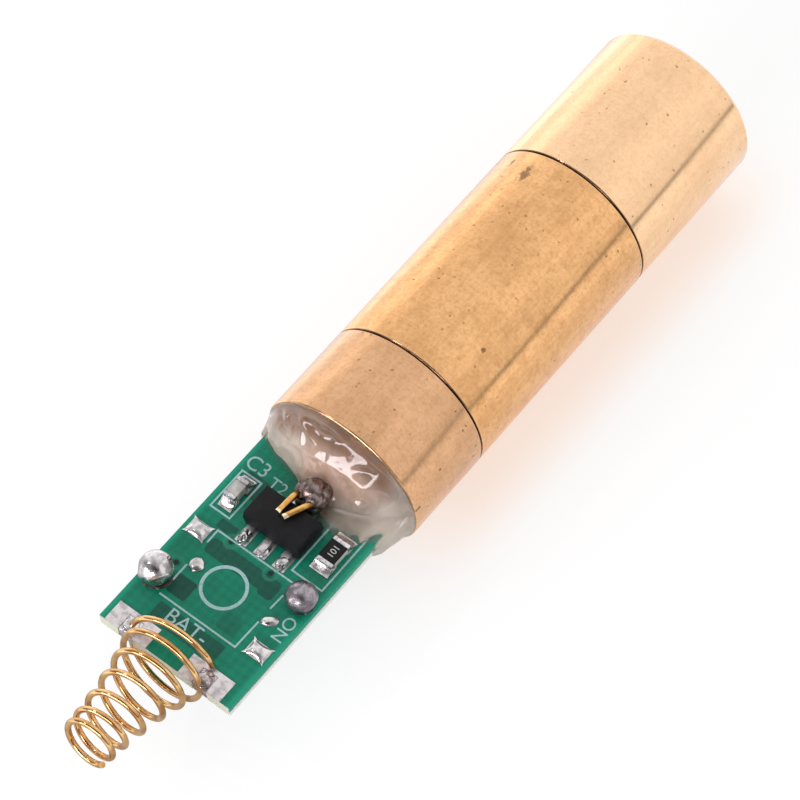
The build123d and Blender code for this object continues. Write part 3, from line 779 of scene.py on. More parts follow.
class LASER_PG_glue(bpy.types.PropertyGroup):
    """Potting glue between the barrel and the board."""

    clear_colour: colour_setting("Clear Colour", "Clearer parts of the glue", (0.95, 0.92, 0.86))
    warm_colour: colour_setting("Warm Colour", "Peach clouds in the middle of the glue", (0.98, 0.67, 0.50))
    milk_colour: colour_setting("Milk Colour", "Cloudy parts of the glue", (0.95, 0.82, 0.70))
    clearness: FloatProperty(
        name="Clearness", description="Share of light that passes through", subtype="FACTOR",
        default=0.93, min=0.0, max=1.0)


class LASER_PG_stage(bpy.types.PropertyGroup):
    """Floor, light and camera."""

    lens: FloatProperty(name="Lens", description="Focal length in millimetres", default=149.6)
    camera_place: FloatVectorProperty(
        name="Camera Place", description="Where the camera stands", subtype="XYZ", unit="LENGTH",
        default=(-0.1099, -0.0695, 0.1831))
    key_power: FloatProperty(
        name="Key Power", description="Small lamp on the upper left", subtype="POWER", default=0.06)
    strip_power: FloatProperty(
        name="Strip Power", description="Strip lamp behind the board", subtype="POWER", default=0.70)


class LASER_PG_module(bpy.types.PropertyGroup):
    """All settings of the laser module."""

    barrel: PointerProperty(type=LASER_PG_barrel)
    board: PointerProperty(type=LASER_PG_board)
    spring: PointerProperty(type=LASER_PG_spring)
    glue: PointerProperty(type=LASER_PG_glue)
    stage: PointerProperty(type=LASER_PG_stage)


# Pieces

class LASER_OT_barrel(bpy.types.Operator):
    """Turn the three brass sections"""

    bl_idname = "laser.barrel"
    bl_label = "Brass Barrel"

    chamfer = 0.1
    nose_chamfer = 0.3
    lip = 1.0
    aperture_r = 3.0
    aperture_flare = 0.4
    expander_r = 2.0
    expander_depth = 1.2
    beam_r = 1.5
    holder_length = 3.5
    can_r = 2.3
    header_r = 2.8
    header_setback = 0.8

    def section(self, props, name, profile, material):
        bm = bmesh.new()
        turned(bm, profile, props.facets)
        round_edges(bm, sharp_edges(bm), props.edge_round / MM)
        part = name.split("_")[0]
        add_piece(bm, part + "_section", "brass_" + part, [material], [name])

    def front(self, props, cell_r):
        end_r = barrel_r - self.chamfer
        # A ring of grime or wear is its place along X, width, raggedness and strength
        material = brass(
            "brass_front", props.front_colour, dull=(0.80, 0.47, 0.25),
            roughness=0.11, marks=0.14, stain_share=0.45,
            grime=[(joint_1_x, 0.12, 0.04, 0.95)],
            wear=[(0.0, 0.35, 0.2, 0.5)])
        self.section(props, "front_barrel", [
            (0.0, self.aperture_r + self.aperture_flare),
            (0.0, barrel_r - self.nose_chamfer),
            (-self.nose_chamfer, barrel_r),
            (joint_1_x + self.chamfer, barrel_r),
            (joint_1_x, end_r),
            (joint_1_x, cell_r),
            (-self.lip, cell_r),
            (-self.lip, self.aperture_r),
            (-self.aperture_flare, self.aperture_r),
        ], material)

    def middle(self, props, cell_r, spigot_r, can_x):
        nose_x = node_box("middle_barrel")[1].x
        seat_x = nose_x - self.expander_depth
        holder_x = can_x + self.holder_length
        end_r = barrel_r - self.chamfer
        material = brass(
            "brass_middle", props.middle_colour, dull=(0.60, 0.30, 0.12),
            roughness=0.12, marks=0.2, stain_share=0.7,
            grime=[(joint_1_x, 0.12, 0.05, 0.95), (joint_2_x, 0.11, 0.05, 0.95)],
            wear=[(joint_2_x, 0.22, 0.12, 0.5)],
            spots=[
                ((joint_1_x - 1.25, 3.8, 4.65), (0.42, 0.12, 0.3)),
                ((joint_1_x - 1.9, 2.25, 5.57), (0.80, 0.45, 0.4)),
                ((joint_2_x + 3.4, -3.48, 4.89), (0.22, 0.16, 0.2)),
            ])
        self.section(props, "middle_barrel", [
            (nose_x, self.expander_r),
            (nose_x, cell_r - fit_gap),
            (joint_1_x, cell_r - fit_gap),
            (joint_1_x, end_r),
            (joint_1_x - self.chamfer, barrel_r),
            (joint_2_x + self.chamfer, barrel_r),
            (joint_2_x, end_r),
            (joint_2_x, spigot_r),
            (holder_x, spigot_r),
            (holder_x, self.beam_r),
            (seat_x, self.beam_r),
            (seat_x, self.expander_r),
        ], material)

    def rear(self, props, spigot_r, can_x):
        pocket_x, pocket_r = rear_x + pocket_depth, barrel_r - pocket_wall
        header_x = joint_2_x - self.header_setback
        end_r = barrel_r - self.chamfer
        material = brass(
            "brass_rear", props.rear_colour, dull=(0.52, 0.28, 0.13),
            roughness=0.15, marks=0.22, stain_share=0.55,
            grime=[(joint_2_x, 0.11, 0.04, 0.95), (rear_x - 0.02, 0.10, 0.16, 0.5)],
            wear=[(rear_x + 0.06, 0.08, 0.08, 0.4)],
            spots=[
                ((rear_x + 0.35, -5.89, 1.14), (0.36, 0.14, 0.14)),
                ((rear_x + 2.9, -5.6, 2.15), (0.16, 0.12, 0.14)),
            ])
        self.section(props, "rear_barrel", [
            (can_x, self.can_r),
            (can_x, spigot_r - fit_gap),
            (joint_2_x, spigot_r - fit_gap),
            (joint_2_x, end_r),
            (joint_2_x - self.chamfer, barrel_r),
            (rear_x + self.chamfer, barrel_r),
            (rear_x, end_r),
            (rear_x, pocket_r),
            (pocket_x, pocket_r),
            (pocket_x, self.header_r),
            (header_x, self.header_r),
            (header_x, self.can_r),
        ], material)

    def execute(self, context):
        props = context.scene.laser_module.barrel
        cell_r = node_box("lens_cell")[1].z
        spigot_r = node_box("crystal_holder")[1].z
        can_x = node_box("rear_barrel")[1].x
        self.front(props, cell_r)
        self.middle(props, cell_r, spigot_r, can_x)
        self.rear(props, spigot_r, can_x)
        return {"FINISHED"}


class LASER_OT_optics(bpy.types.Operator):
    """Finish the lens, its cell and the pieces inside the barrel"""

    bl_idname = "laser.optics"
    bl_label = "Optics"

    lens_sag = 0.7
    dome_steps = 12
    lens_facets = 96

    def execute(self, context):
        lens_glass = glass("lens_glass", (0.94, 0.99, 0.97), 1.52)
        low, high = node_box("collimating_lens")
        radius = high.z
        bowl = (radius * radius + self.lens_sag * self.lens_sag) / (2 * self.lens_sag)
        arc = [radius * step / self.dome_steps for step in range(self.dome_steps + 1)]
        dome = [(high.x - bowl + math.sqrt(bowl * bowl - r * r), r) for r in arc]
        bm = bmesh.new()
        turned(bm, dome + [(low.x, radius), (low.x, 0.0)], self.lens_facets, closed=False)
        add_piece(bm, "front_lens", "lens_glass", [lens_glass], ["collimating_lens"])
        inner = brass(
            "brass_inner", (0.62, 0.40, 0.18), (0.36, 0.22, 0.10), roughness=0.34, marks=0.3, stain_share=0.5)
        can = plated(
            "can_metal", (0.80, 0.66, 0.36), shadow=(0.55, 0.44, 0.24), roughness=0.25, patch_scale=0.9)
        paint_nodes(inner, "lens_cell", "crystal_holder")
        paint_nodes(lens_glass, "expander_lens", "diode_window")
        paint_nodes(glass("filter_glass", (0.30, 0.72, 0.66), 1.51), "ir_filter")
        paint_nodes(glass("crystal", (0.86, 0.78, 0.93), 1.8), "laser_crystal", "doubling_crystal")
        paint_nodes(moulded("seal_glass", (0.05, 0.09, 0.07), roughness=0.3, grain=8.0), "lead_seals")
        paint_nodes(can, "diode_header", "diode_cap")
        paint_nodes(moulded("chip", (0.10, 0.10, 0.12), roughness=0.25, grain=20.0), "laser_chip")
        return {"FINISHED"}


class LASER_OT_board(bpy.types.Operator):
    """Make the driver board with its slots, mask and cut edges"""

    bl_idname = "laser.board"
    bl_label = "Driver Board"

    edge = 0.035
    crease = 20.0

    def execute(self, context):
        low, high = board_low, board_high
        deep = low.x + slot_depth
        outline = [(low.x, low.y)]
        for side in sorted(slot_sides):
            near, far = side - slot_width / 2, side + slot_width / 2
            outline += [(low.x, near), (deep, near), (deep, far), (low.x, far)]
        outline += [(low.x, high.y), (high.x, high.y), (high.x, low.y)]
        bm = bmesh.new()
        base = bm.faces.new([bm.verts.new((x, y, low.z)) for x, y in outline])
        grown = bmesh.ops.extrude_face_region(bm, geom=[base])["geom"]
        top = [item for item in grown if isinstance(item, bmesh.types.BMVert)]
        bmesh.ops.translate(bm, vec=(0.0, 0.0, high.z - low.z), verts=top)
        bmesh.ops.recalc_face_normals(bm, faces=bm.faces)
        round_edges(bm, sharp_edges(bm), self.edge)
        bm.normal_update()
        for face in bm.faces:
            face.material_index = 0 if abs(face.normal.z) > 0.9 else 1
        finishes = [solder_mask(context.scene.laser_module.board), laminate("laminate")]
        add_piece(bm, "board", "board_green", finishes, ["circuit_board"], self.crease)
        paint_nodes(tinned_copper(), "tinned_pads", "underside_pad")
        return {"FINISHED"}


class LASER_OT_print(bpy.types.Operator):
    """Print the outlines and plain letters on the board"""

    bl_idname = "laser.print"
    bl_label = "Board Print"

    ring_r = 1.44
    ring_half = 0.115
    ring_facets = 72

    def line(self, bm, start, end, width, height):
        start, end = Vector((*start, 0.0)), Vector((*end, 0.0))
        run = end - start
        verts = bmesh.ops.create_cube(bm, size=1.0)["verts"]
        bmesh.ops.scale(bm, vec=(run.length + width, width, height), verts=verts)
        turn = Matrix.Rotation(math.atan2(run.y, run.x), 3, "Z")
        bmesh.ops.rotate(bm, cent=ORIGIN, matrix=turn, verts=verts)
        lift = Vector((0.0, 0.0, board_top + height / 2))
        bmesh.ops.translate(bm, vec=(start + end) / 2 + lift, verts=verts)

    def routes(self):
        """Starts and ends of the lines round the switch, the capacitor and the resistor."""
        x = switch_x
        top_x, low_x, left_y, right_y = x + 2.8, x - 2.74, 3.16, -2.82
        switch = [
            ((top_x, left_y), (top_x, right_y)),
            ((low_x, left_y), (low_x, right_y)),
            ((low_x, right_y), (x - 0.59, right_y - 0.05)),
            ((x - 1.49, left_y), (x - 0.25, left_y)),
            ((x + 0.64, right_y - 0.05), (x + 1.72, right_y - 0.1)),
            ((top_x, left_y), (top_x - 1.0, left_y)),
        ]
        near_x, far_x, right_y, left_y = x + 3.87, x + 7.0, 3.12, 4.68
        corners = [(near_x, right_y), (far_x, right_y), (far_x, left_y), (near_x, left_y)]
        capacitor = list(zip(corners, corners[1:] + corners[:1]))
        near_x, far_x, left_y, right_y = x + 3.45, x + 8.0, -2.25, -4.62
        resistor = [
            ((near_x, left_y), (near_x, right_y)),
            ((near_x, left_y), (far_x, left_y)),
            ((near_x, right_y), (far_x, right_y)),
        ]
        return switch + capacitor + resistor

    def execute(self, context):
        props = context.scene.laser_module.board
        width, height = props.ink_width / MM, props.ink_height / MM
        paint = ink("board_ink", props.ink_colour)
        bm = bmesh.new()
        for index, (start, end) in enumerate(self.routes()):
            # Lines that cross differ a little in height
            self.line(bm, start, end, width, height * (1.0 + 0.12 * (index % 4)))
        centre = Vector((switch_x - 0.05, 0.3, 0.0))
        inner, outer = self.ring_r - self.ring_half, self.ring_r + self.ring_half
        top = board_top + height
        ring = [(inner, board_top), (outer, board_top), (outer, top), (inner, top)]
        spun(bm, [(centre.x + r, centre.y, z) for r, z in ring], Z_AXIS, centre, self.ring_facets)
        add_piece(bm, "print_lines", "board_green", [paint])

        bm = bmesh.new()
        across = -math.pi / 2
        for letters, x, y, size, turn in (
            ("BAT-", -3.52, 0.40, 1.45, across),
            ("ON", 0.0, -4.42, 1.2, math.pi),
            ("C3", 7.80, 4.05, 1.45, across),
            ("T2", 7.42, 2.15, 1.2, across),
        ):
            word(bm, letters, (switch_x + x, y, board_top + height / 2), size, turn, height)
        add_piece(bm, "print_words", "board_green", [paint])
        return {"FINISHED"}


class LASER_OT_solder(bpy.types.Operator):
    """Set the solder on the switch pads, the leads and the board"""

    bl_idname = "laser.solder"
    bl_label = "Solder"

    pad_half = (0.58, 0.74)
    dot_r = 0.475

    def pillow(self, bm, centre, half, height, pinch):
        """Solder on a square pad, drawn in between its corners."""
        skirt = 0.02

        def shape(u, v, w):
            corner = 1.0 + 0.13 * (u * v) ** 4
            pull_u = corner - pinch * (1.0 - v * v)
            pull_v = corner - pinch * (1.0 - u * u)
            crown = max(0.0, (1.0 - u * u) * (1.0 - v * v))
            rise = skirt + height * crown ** 0.6
            ripple = 0.03 * noise.noise(Vector((u, v, centre[0])) * 2.5) * crown
            return Vector((
                centre[0] + half[0] * u * pull_u,
                centre[1] + half[1] * v * pull_v,
                pad_top + (rise + ripple if w > 0 else -skirt),
            ))
        soft_block(bm, 11, shape)

    def drop(self, node, rough, name, slot, material):
        """A round drop on its node's place, drawn in at its foot."""
        low, high = node_box(node)
        middle, half = (low + high) / 2, (high - low) / 2
        waist = low.z + (high.z - low.z) * 0.42
        bm = bmesh.new()
        verts = bmesh.ops.create_uvsphere(bm, u_segments=48, v_segments=32, radius=1.0)["verts"]
        for vert in verts:
            above = vert.co.z > 0
            uneven = 1.0 + rough * noise.noise(vert.co * 1.7 + middle)
            pinch = 1.0 if above else 1.0 - 0.22 * vert.co.z * vert.co.z
            reach = high.z - waist if above else 1.12 * (waist - low.z)
            vert.co = Vector((
                middle.x + vert.co.x * half.x * uneven * pinch,
                middle.y + vert.co.y * half.y * uneven * pinch,
                max(low.z, waist + vert.co.z * reach),
            ))
        add_piece(bm, name, slot, [material], [node])

    def dots(self, material):
        low, high = node_box("solder_dots")
        floor = board_top - 0.01
        bm = bmesh.new()
        left = (high.x - self.dot_r, high.y - self.dot_r, board_top)
        soft_ball(bm, left, (0.52, 0.52, 0.24), 0.08, floor)
        right = (low.x + self.dot_r, low.y + self.dot_r, board_top)
        soft_ball(bm, right, (0.58, 0.36, 0.22), 0.1, floor, turn=-0.9)
        add_piece(bm, "solder_spots", "solder_bright", [material], ["solder_dots"])

    def lead_lump(self):
        """Sooty solder round the leads, a heap of balls: places along and across, level and reach."""
        low, high = node_box("lead_solder")
        middle = (low + high) / 2
        bm = bmesh.new()
        for along, across, level, reach in (
            (0.0, 0.0, low.z + 0.5, 0.95),
            (0.1, 0.42, high.z - 0.80, 0.68),
            (-0.05, -0.42, high.z - 0.72, 0.66),
            (0.35, 0.0, high.z - 0.62, 0.78),
            (0.2, -0.75, high.z - 1.0, 0.55),
            (0.6, -0.45, high.z - 1.0, 0.72),
        ):
            place = (middle.x + along, middle.y + across, level)
            soft_ball(bm, place, (reach * 1.08, reach, reach * 0.9), 0.07, low.z, 1.3)
        sooty = solder(
            "solder_sooty", (0.30, 0.235, 0.22), (0.11, 0.075, 0.065), roughness=0.20, crust=0.9, stain=0.7)
        add_piece(bm, "lead_lump", "solder_dull", [sooty], ["lead_solder"])

    def execute(self, context):
        bright = bright_solder()
        dull = solder(
            "solder_dull", (0.42, 0.38, 0.41), (0.22, 0.19, 0.22), roughness=0.24, crust=0.7, stain=0.5)
        bm = bmesh.new()
        self.pillow(bm, (switch_x + switch_pad_x, switch_pad_y), self.pad_half, 0.24, 0.13)
        self.pillow(bm, (switch_x - switch_pad_x, -switch_pad_y), self.pad_half, 0.30, 0.15)
        add_piece(bm, "pad_solder", "solder_bright", [bright])
        self.drop("tall_solder_blob", 0.10, "tall_drop", "solder_bright", bright)
        self.drop("round_solder_blob", 0.06, "round_drop", "solder_dull", dull)
        self.dots(bright)
        self.lead_lump()
        paint_nodes(bright, "case_lead_solder")
        return {"FINISHED"}


class LASER_OT_flux(bpy.types.Operator):
    """Leave burnt flux, with painted shadow, at the foot of the solder drops"""

    bl_idname = "laser.flux"
    bl_label = "Burnt Flux"

    film = 0.10

    def execute(self, context):
        # Near-black film: burnt flux, darkened further as painted shadow round the feet of the drops
        burnt = moulded("burnt_flux_and_shadow", (0.030, 0.022, 0.014), roughness=0.22, grain=5.0)
        tall_low, tall_high = node_box("tall_solder_blob")
        tall = (tall_low + tall_high) / 2
        bm = bmesh.new()
        for x, y, reach in ((tall.x, tall.y, 1.05), (switch_x + switch_pad_x, -switch_pad_y, 0.86)):
            soft_ball(bm, (x, y, board_top), (reach, reach, self.film), 0.14, board_top - 0.01, 2.4)
        add_piece(bm, "flux_and_shadow_rings", "solder_dull", [burnt])
        return {"FINISHED"}


class LASER_OT_transistor(bpy.types.Operator):
    """Mould the transistor and form its legs"""

    bl_idname = "laser.transistor"
    bl_label = "Transistor"

    draft_angle = 7.0
    pitch = 1.5
    leg_half = 0.23
    tab_half = 0.82
    leg_thick = 0.4
    edge = 0.05

    def execute(self, context):
        low, high = node_box("driver_transistor")
        middle, height = (low + high) / 2, high.z - low.z
        draft = math.tan(math.radians(self.draft_angle)) * height / 2
        bm = bmesh.new()
        block(bm, low, high)
        upright = [edge for edge in bm.edges if abs(edge.verts[0].co.z - edge.verts[1].co.z) > height / 2]
        bmesh.ops.subdivide_edges(bm, edges=upright, cuts=1)
        for vert in bm.verts:
            if abs(vert.co.z - middle.z) > height / 4:
                vert.co.x -= math.copysign(draft, vert.co.x - middle.x)
                vert.co.y -= math.copysign(draft, vert.co.y - middle.y)
        round_edges(bm, sharp_edges(bm, 8.0), self.edge)
        black = moulded("package_black", (0.0105, 0.0105, 0.0115), roughness=0.5, grain=9.0,
                        fleck_share=0.04, sheen=0.16)
        add_piece(bm, "transistor_case", "package_black", [black], ["driver_transistor"])

        legs_low, legs_high = node_box("transistor_leads")
        top = pad_top + self.leg_thick
        half = self.leg_half
        bm = bmesh.new()
        for row in (-self.pitch, 0.0, self.pitch):
            block(bm, (legs_low.x, row - half, pad_top), (low.x + draft, row + half, top), self.edge)
        block(bm, (high.x - draft, -self.tab_half, pad_top), (legs_high.x, self.tab_half, top), self.edge)
        add_piece(bm, "transistor_legs", "pad_tin", [tinned_copper()], ["transistor_leads"])

        length = low.x - legs_low.x
        bm = bmesh.new()
        for row, climb in ((-self.pitch, 0.46), (0.0, 0.2), (self.pitch, 0.5)):
            reach = (length * 0.62, half + 0.16, climb)
            soft_ball(bm, (legs_low.x + length * 0.3, row, pad_top), reach, 0.14, pad_top - 0.02, 2.2)
        add_piece(bm, "leg_solder", "solder_bright", [bright_solder()], ["transistor_solder"])
        return {"FINISHED"}


class LASER_OT_chips(bpy.types.Operator):
    """Make the chip capacitor and the chip resistor with their soldered ends"""

    bl_idname = "laser.chips"
    bl_label = "Chip Parts"

    def fillet(self, bm, face_x, middle_y, heading, length, half_width, height):
        """Solder that climbs an end of a chip and thins out along its pad."""
        skirt = 0.02

        def shape(u, v, w):
            out = (u + 1.0) / 2
            hollow = (1.0 - out) ** 1.8
            side = 1.0 - 0.25 * v * v
            spread = 1.0 + 0.12 * out
            rise = height * hollow * side + 0.03 if w > 0 else -skirt
            swell = 0.04 * noise.noise(Vector((out, v, face_x)) * 2.2) if w > 0 else 0.0
            return Vector((
                face_x + heading * length * (out - 0.12),
                middle_y + half_width * v * spread * (1.0 - 0.12 * out * (1.0 - v * v)),
                pad_top + rise + swell,
            ))
        soft_block(bm, 9, shape)

    def body(self, name, slot, material, node, edge, longer=0.0, taller=0.0):
        """A chip's block or coat, which may stand a little proud of its node."""
        low, high = node_box(node)
        bm = bmesh.new()
        block(bm, (low.x - longer, low.y, low.z), (high.x + longer, high.y, high.z + taller), edge)
        add_piece(bm, name, slot, [material], [node])

    def caps(self, name, chip, nodes, edge, wider, taller, run, spread, climb):
        """Tinned caps on both ends of a chip, with the solder at their feet."""
        low, high = node_box(nodes[0])
        body_low, body_high = node_box(chip)
        left, right, top = high.y + wider, low.y - wider, high.z + taller
        middle_y, half_width = (low.y + high.y) / 2, (high.y - low.y) / 2 + spread
        bm = bmesh.new()
        block(bm, (low.x, right, low.z), (body_low.x, left, top), edge)
        block(bm, (body_high.x, right, low.z), (high.x, left, top), edge)
        for face_x, heading in ((low.x, -1), (high.x, 1)):
            self.fillet(bm, face_x, middle_y, heading, run, half_width, climb)
        add_piece(bm, name, "solder_bright", [bright_solder()], nodes)

    def execute(self, context):
        grey = moulded("ceramic_grey", (0.50, 0.48, 0.45), roughness=0.34, grain=7.0, fleck_share=0.02)
        white = moulded("ceramic_white", (0.66, 0.65, 0.62), roughness=0.45, grain=7.0)
        black = moulded("resistor_black", (0.009, 0.009, 0.010), roughness=0.35, grain=6.0,
                        fleck_share=0.02, sheen=0.2)
        self.body("capacitor_body", "ceramic_grey", grey, "chip_capacitor", edge=0.06)
        self.caps("capacitor_caps", "chip_capacitor", ["capacitor_ends", "capacitor_solder"], edge=0.07,
                  wider=0.01, taller=0.015, run=0.6, spread=0.04, climb=0.7)
        self.body("resistor_body", "ceramic_white", white, "chip_resistor", edge=0.03)
        self.body("resistor_top", "resistor_black", black, "resistor_coat", edge=0.018,
                  longer=0.05, taller=0.01)

        low, high = node_box("resistor_coat")
        middle = (low + high) / 2
        bm = bmesh.new()
        word(bm, "101", (middle.x, middle.y, high.z + 0.014), 0.62, math.pi, 0.012)
        add_piece(bm, "resistor_digits", "ceramic_white", [white])
        self.caps("resistor_caps", "chip_resistor", ["resistor_ends", "resistor_solder"], edge=0.05,
                  wider=0.0, taller=0.012, run=0.58, spread=0.03, climb=0.44)
        return {"FINISHED"}


class LASER_OT_leads(bpy.types.Operator):
    """Run the gold-plated leads of the diode over the transistor"""

    bl_idname = "laser.leads"
    bl_label = "Diode Leads"

    lead_r = 0.225
    # How far below the top of the lead its painted shade begins
    plating_edge = 0.09

    def execute(self, context):
        bm = bmesh.new()
        for node, side, root_y, tip_y in (("left_lead", 1.0, 0.25, 0.33), ("right_lead", -1.0, -0.85, -0.17)):
            low, high = node_box(node)
            level = high.z - self.lead_r
            route = [
                (high.x, side, 0.0),
                (rear_x + pocket_depth, side, 0.0),
                (rear_x - 0.6, side * 0.9, 1.0),
                (rear_x - 1.9, (side + root_y) / 2, 1.3),
                (low.x + 2.1, root_y * 1.05, level - 0.3),
                (low.x + 1.55, root_y, level),
                (low.x + 1.0, root_y + (tip_y - root_y) * 0.35, level),
                (low.x, tip_y, level),
            ]
            wire(bm, route, self.lead_r, True)
        low, high = node_box("left_lead")
        gold = plated("lead_gold", (0.96, 0.60, 0.20), shadow=(0.70, 0.34, 0.09), roughness=0.14,
                      patch_scale=1.3, level=high.z - self.plating_edge, tip=low.x)
        add_piece(bm, "diode_leads", "lead_gold", [gold], ["left_lead", "right_lead"])
        paint_nodes(gold, "case_lead")
        return {"FINISHED"}


class LASER_OT_spring(bpy.types.Operator):
    """Wind the conical contact spring and solder it into its slots"""

    bl_idname = "laser.spring"
    bl_label = "Contact Spring"

    base_pitch = 0.4
    tip_pitch = 0.3
    seat_lean = 0.75
    seat_clearance = 0.04
    steps_per_turn = 48
    seat_inset = 0.76
    seat_side = 0.16
    seat = Vector((board_low.x + seat_inset, seat_side, (board_low.z + board_top) / 2))

    def point(self, props, turn):
        """Place of the wire's middle after some turns from the seat."""
        turns, length = props.turns, props.length / MM
        seat_r, tip_r = props.seat_radius / MM, props.tip_radius / MM
        share = turn / turns
        angle = 2 * math.pi * turn
        fade = min(1.0, (1 - share) / (1 - 1 / turns))
        radius = tip_r + (seat_r - tip_r) * fade ** 2
        run = length * (3 * share ** 2 - 2 * share ** 3)
        run += self.base_pitch * turns * (share - 2 * share ** 2 + share ** 3)
        run += self.tip_pitch * turns * (share ** 3 - share ** 2)
        lean = self.seat_lean * max(0.0, 1 - 2 * turn) ** 2
        height = radius * math.sin(angle)
        return self.seat + Vector((
            lean - run * math.cos(props.tilt) + height * math.sin(props.tilt),
            -run * math.sin(props.yaw) - radius * math.cos(angle),
            run * math.sin(props.tilt) + height * math.cos(props.tilt),
        ))

    def lumps(self):
        """Solder that fills the slots, burnt in the right one."""
        bm = bmesh.new()
        for index, (side, rough) in enumerate(zip(slot_sides, (0.12, 0.25))):
            done = set(bm.faces)
            block(bm, (board_low.x + 0.02, side - slot_width / 2, board_low.z + 0.02),
                  (board_low.x + slot_depth, side + slot_width / 2, pad_top), 0.08)
            place = (board_low.x + slot_depth / 2, side, pad_top)
            soft_ball(bm, place, (0.62, 0.55, 0.32), rough, pad_top - 0.02, 2.2)
            for face in bm.faces:
                if face not in done:
                    face.material_index = index
        burnt = solder(
            "solder_burnt", (0.56, 0.51, 0.53), (0.27, 0.20, 0.18), roughness=0.16, crust=0.5, stain=0.6)
        add_piece(bm, "spring_lumps", "solder_bright", [bright_solder(), burnt], ["spring_solder"])

    def execute(self, context):
        props = context.scene.laser_module.spring
        radius = props.wire_diameter / MM / 2
        rest = pad_top + self.seat_clearance + radius - self.seat.z
        first = math.asin(rest / (props.seat_radius / MM * math.cos(props.tilt))) / (2 * math.pi)
        steps = int((props.turns - first) * self.steps_per_turn)
        turns = [first + (props.turns - first) * step / steps for step in range(steps + 1)]
        bm = bmesh.new()
        wire(bm, [self.point(props, turn) for turn in turns], radius, False)
        gold = plated(
            "spring_gold", props.colour, shadow=(0.54, 0.26, 0.09), roughness=0.06, patch_scale=0.7)
        add_piece(bm, "spring_wire", "spring_gold", [gold], ["contact_spring"])
        self.lumps()
        return {"FINISHED"}


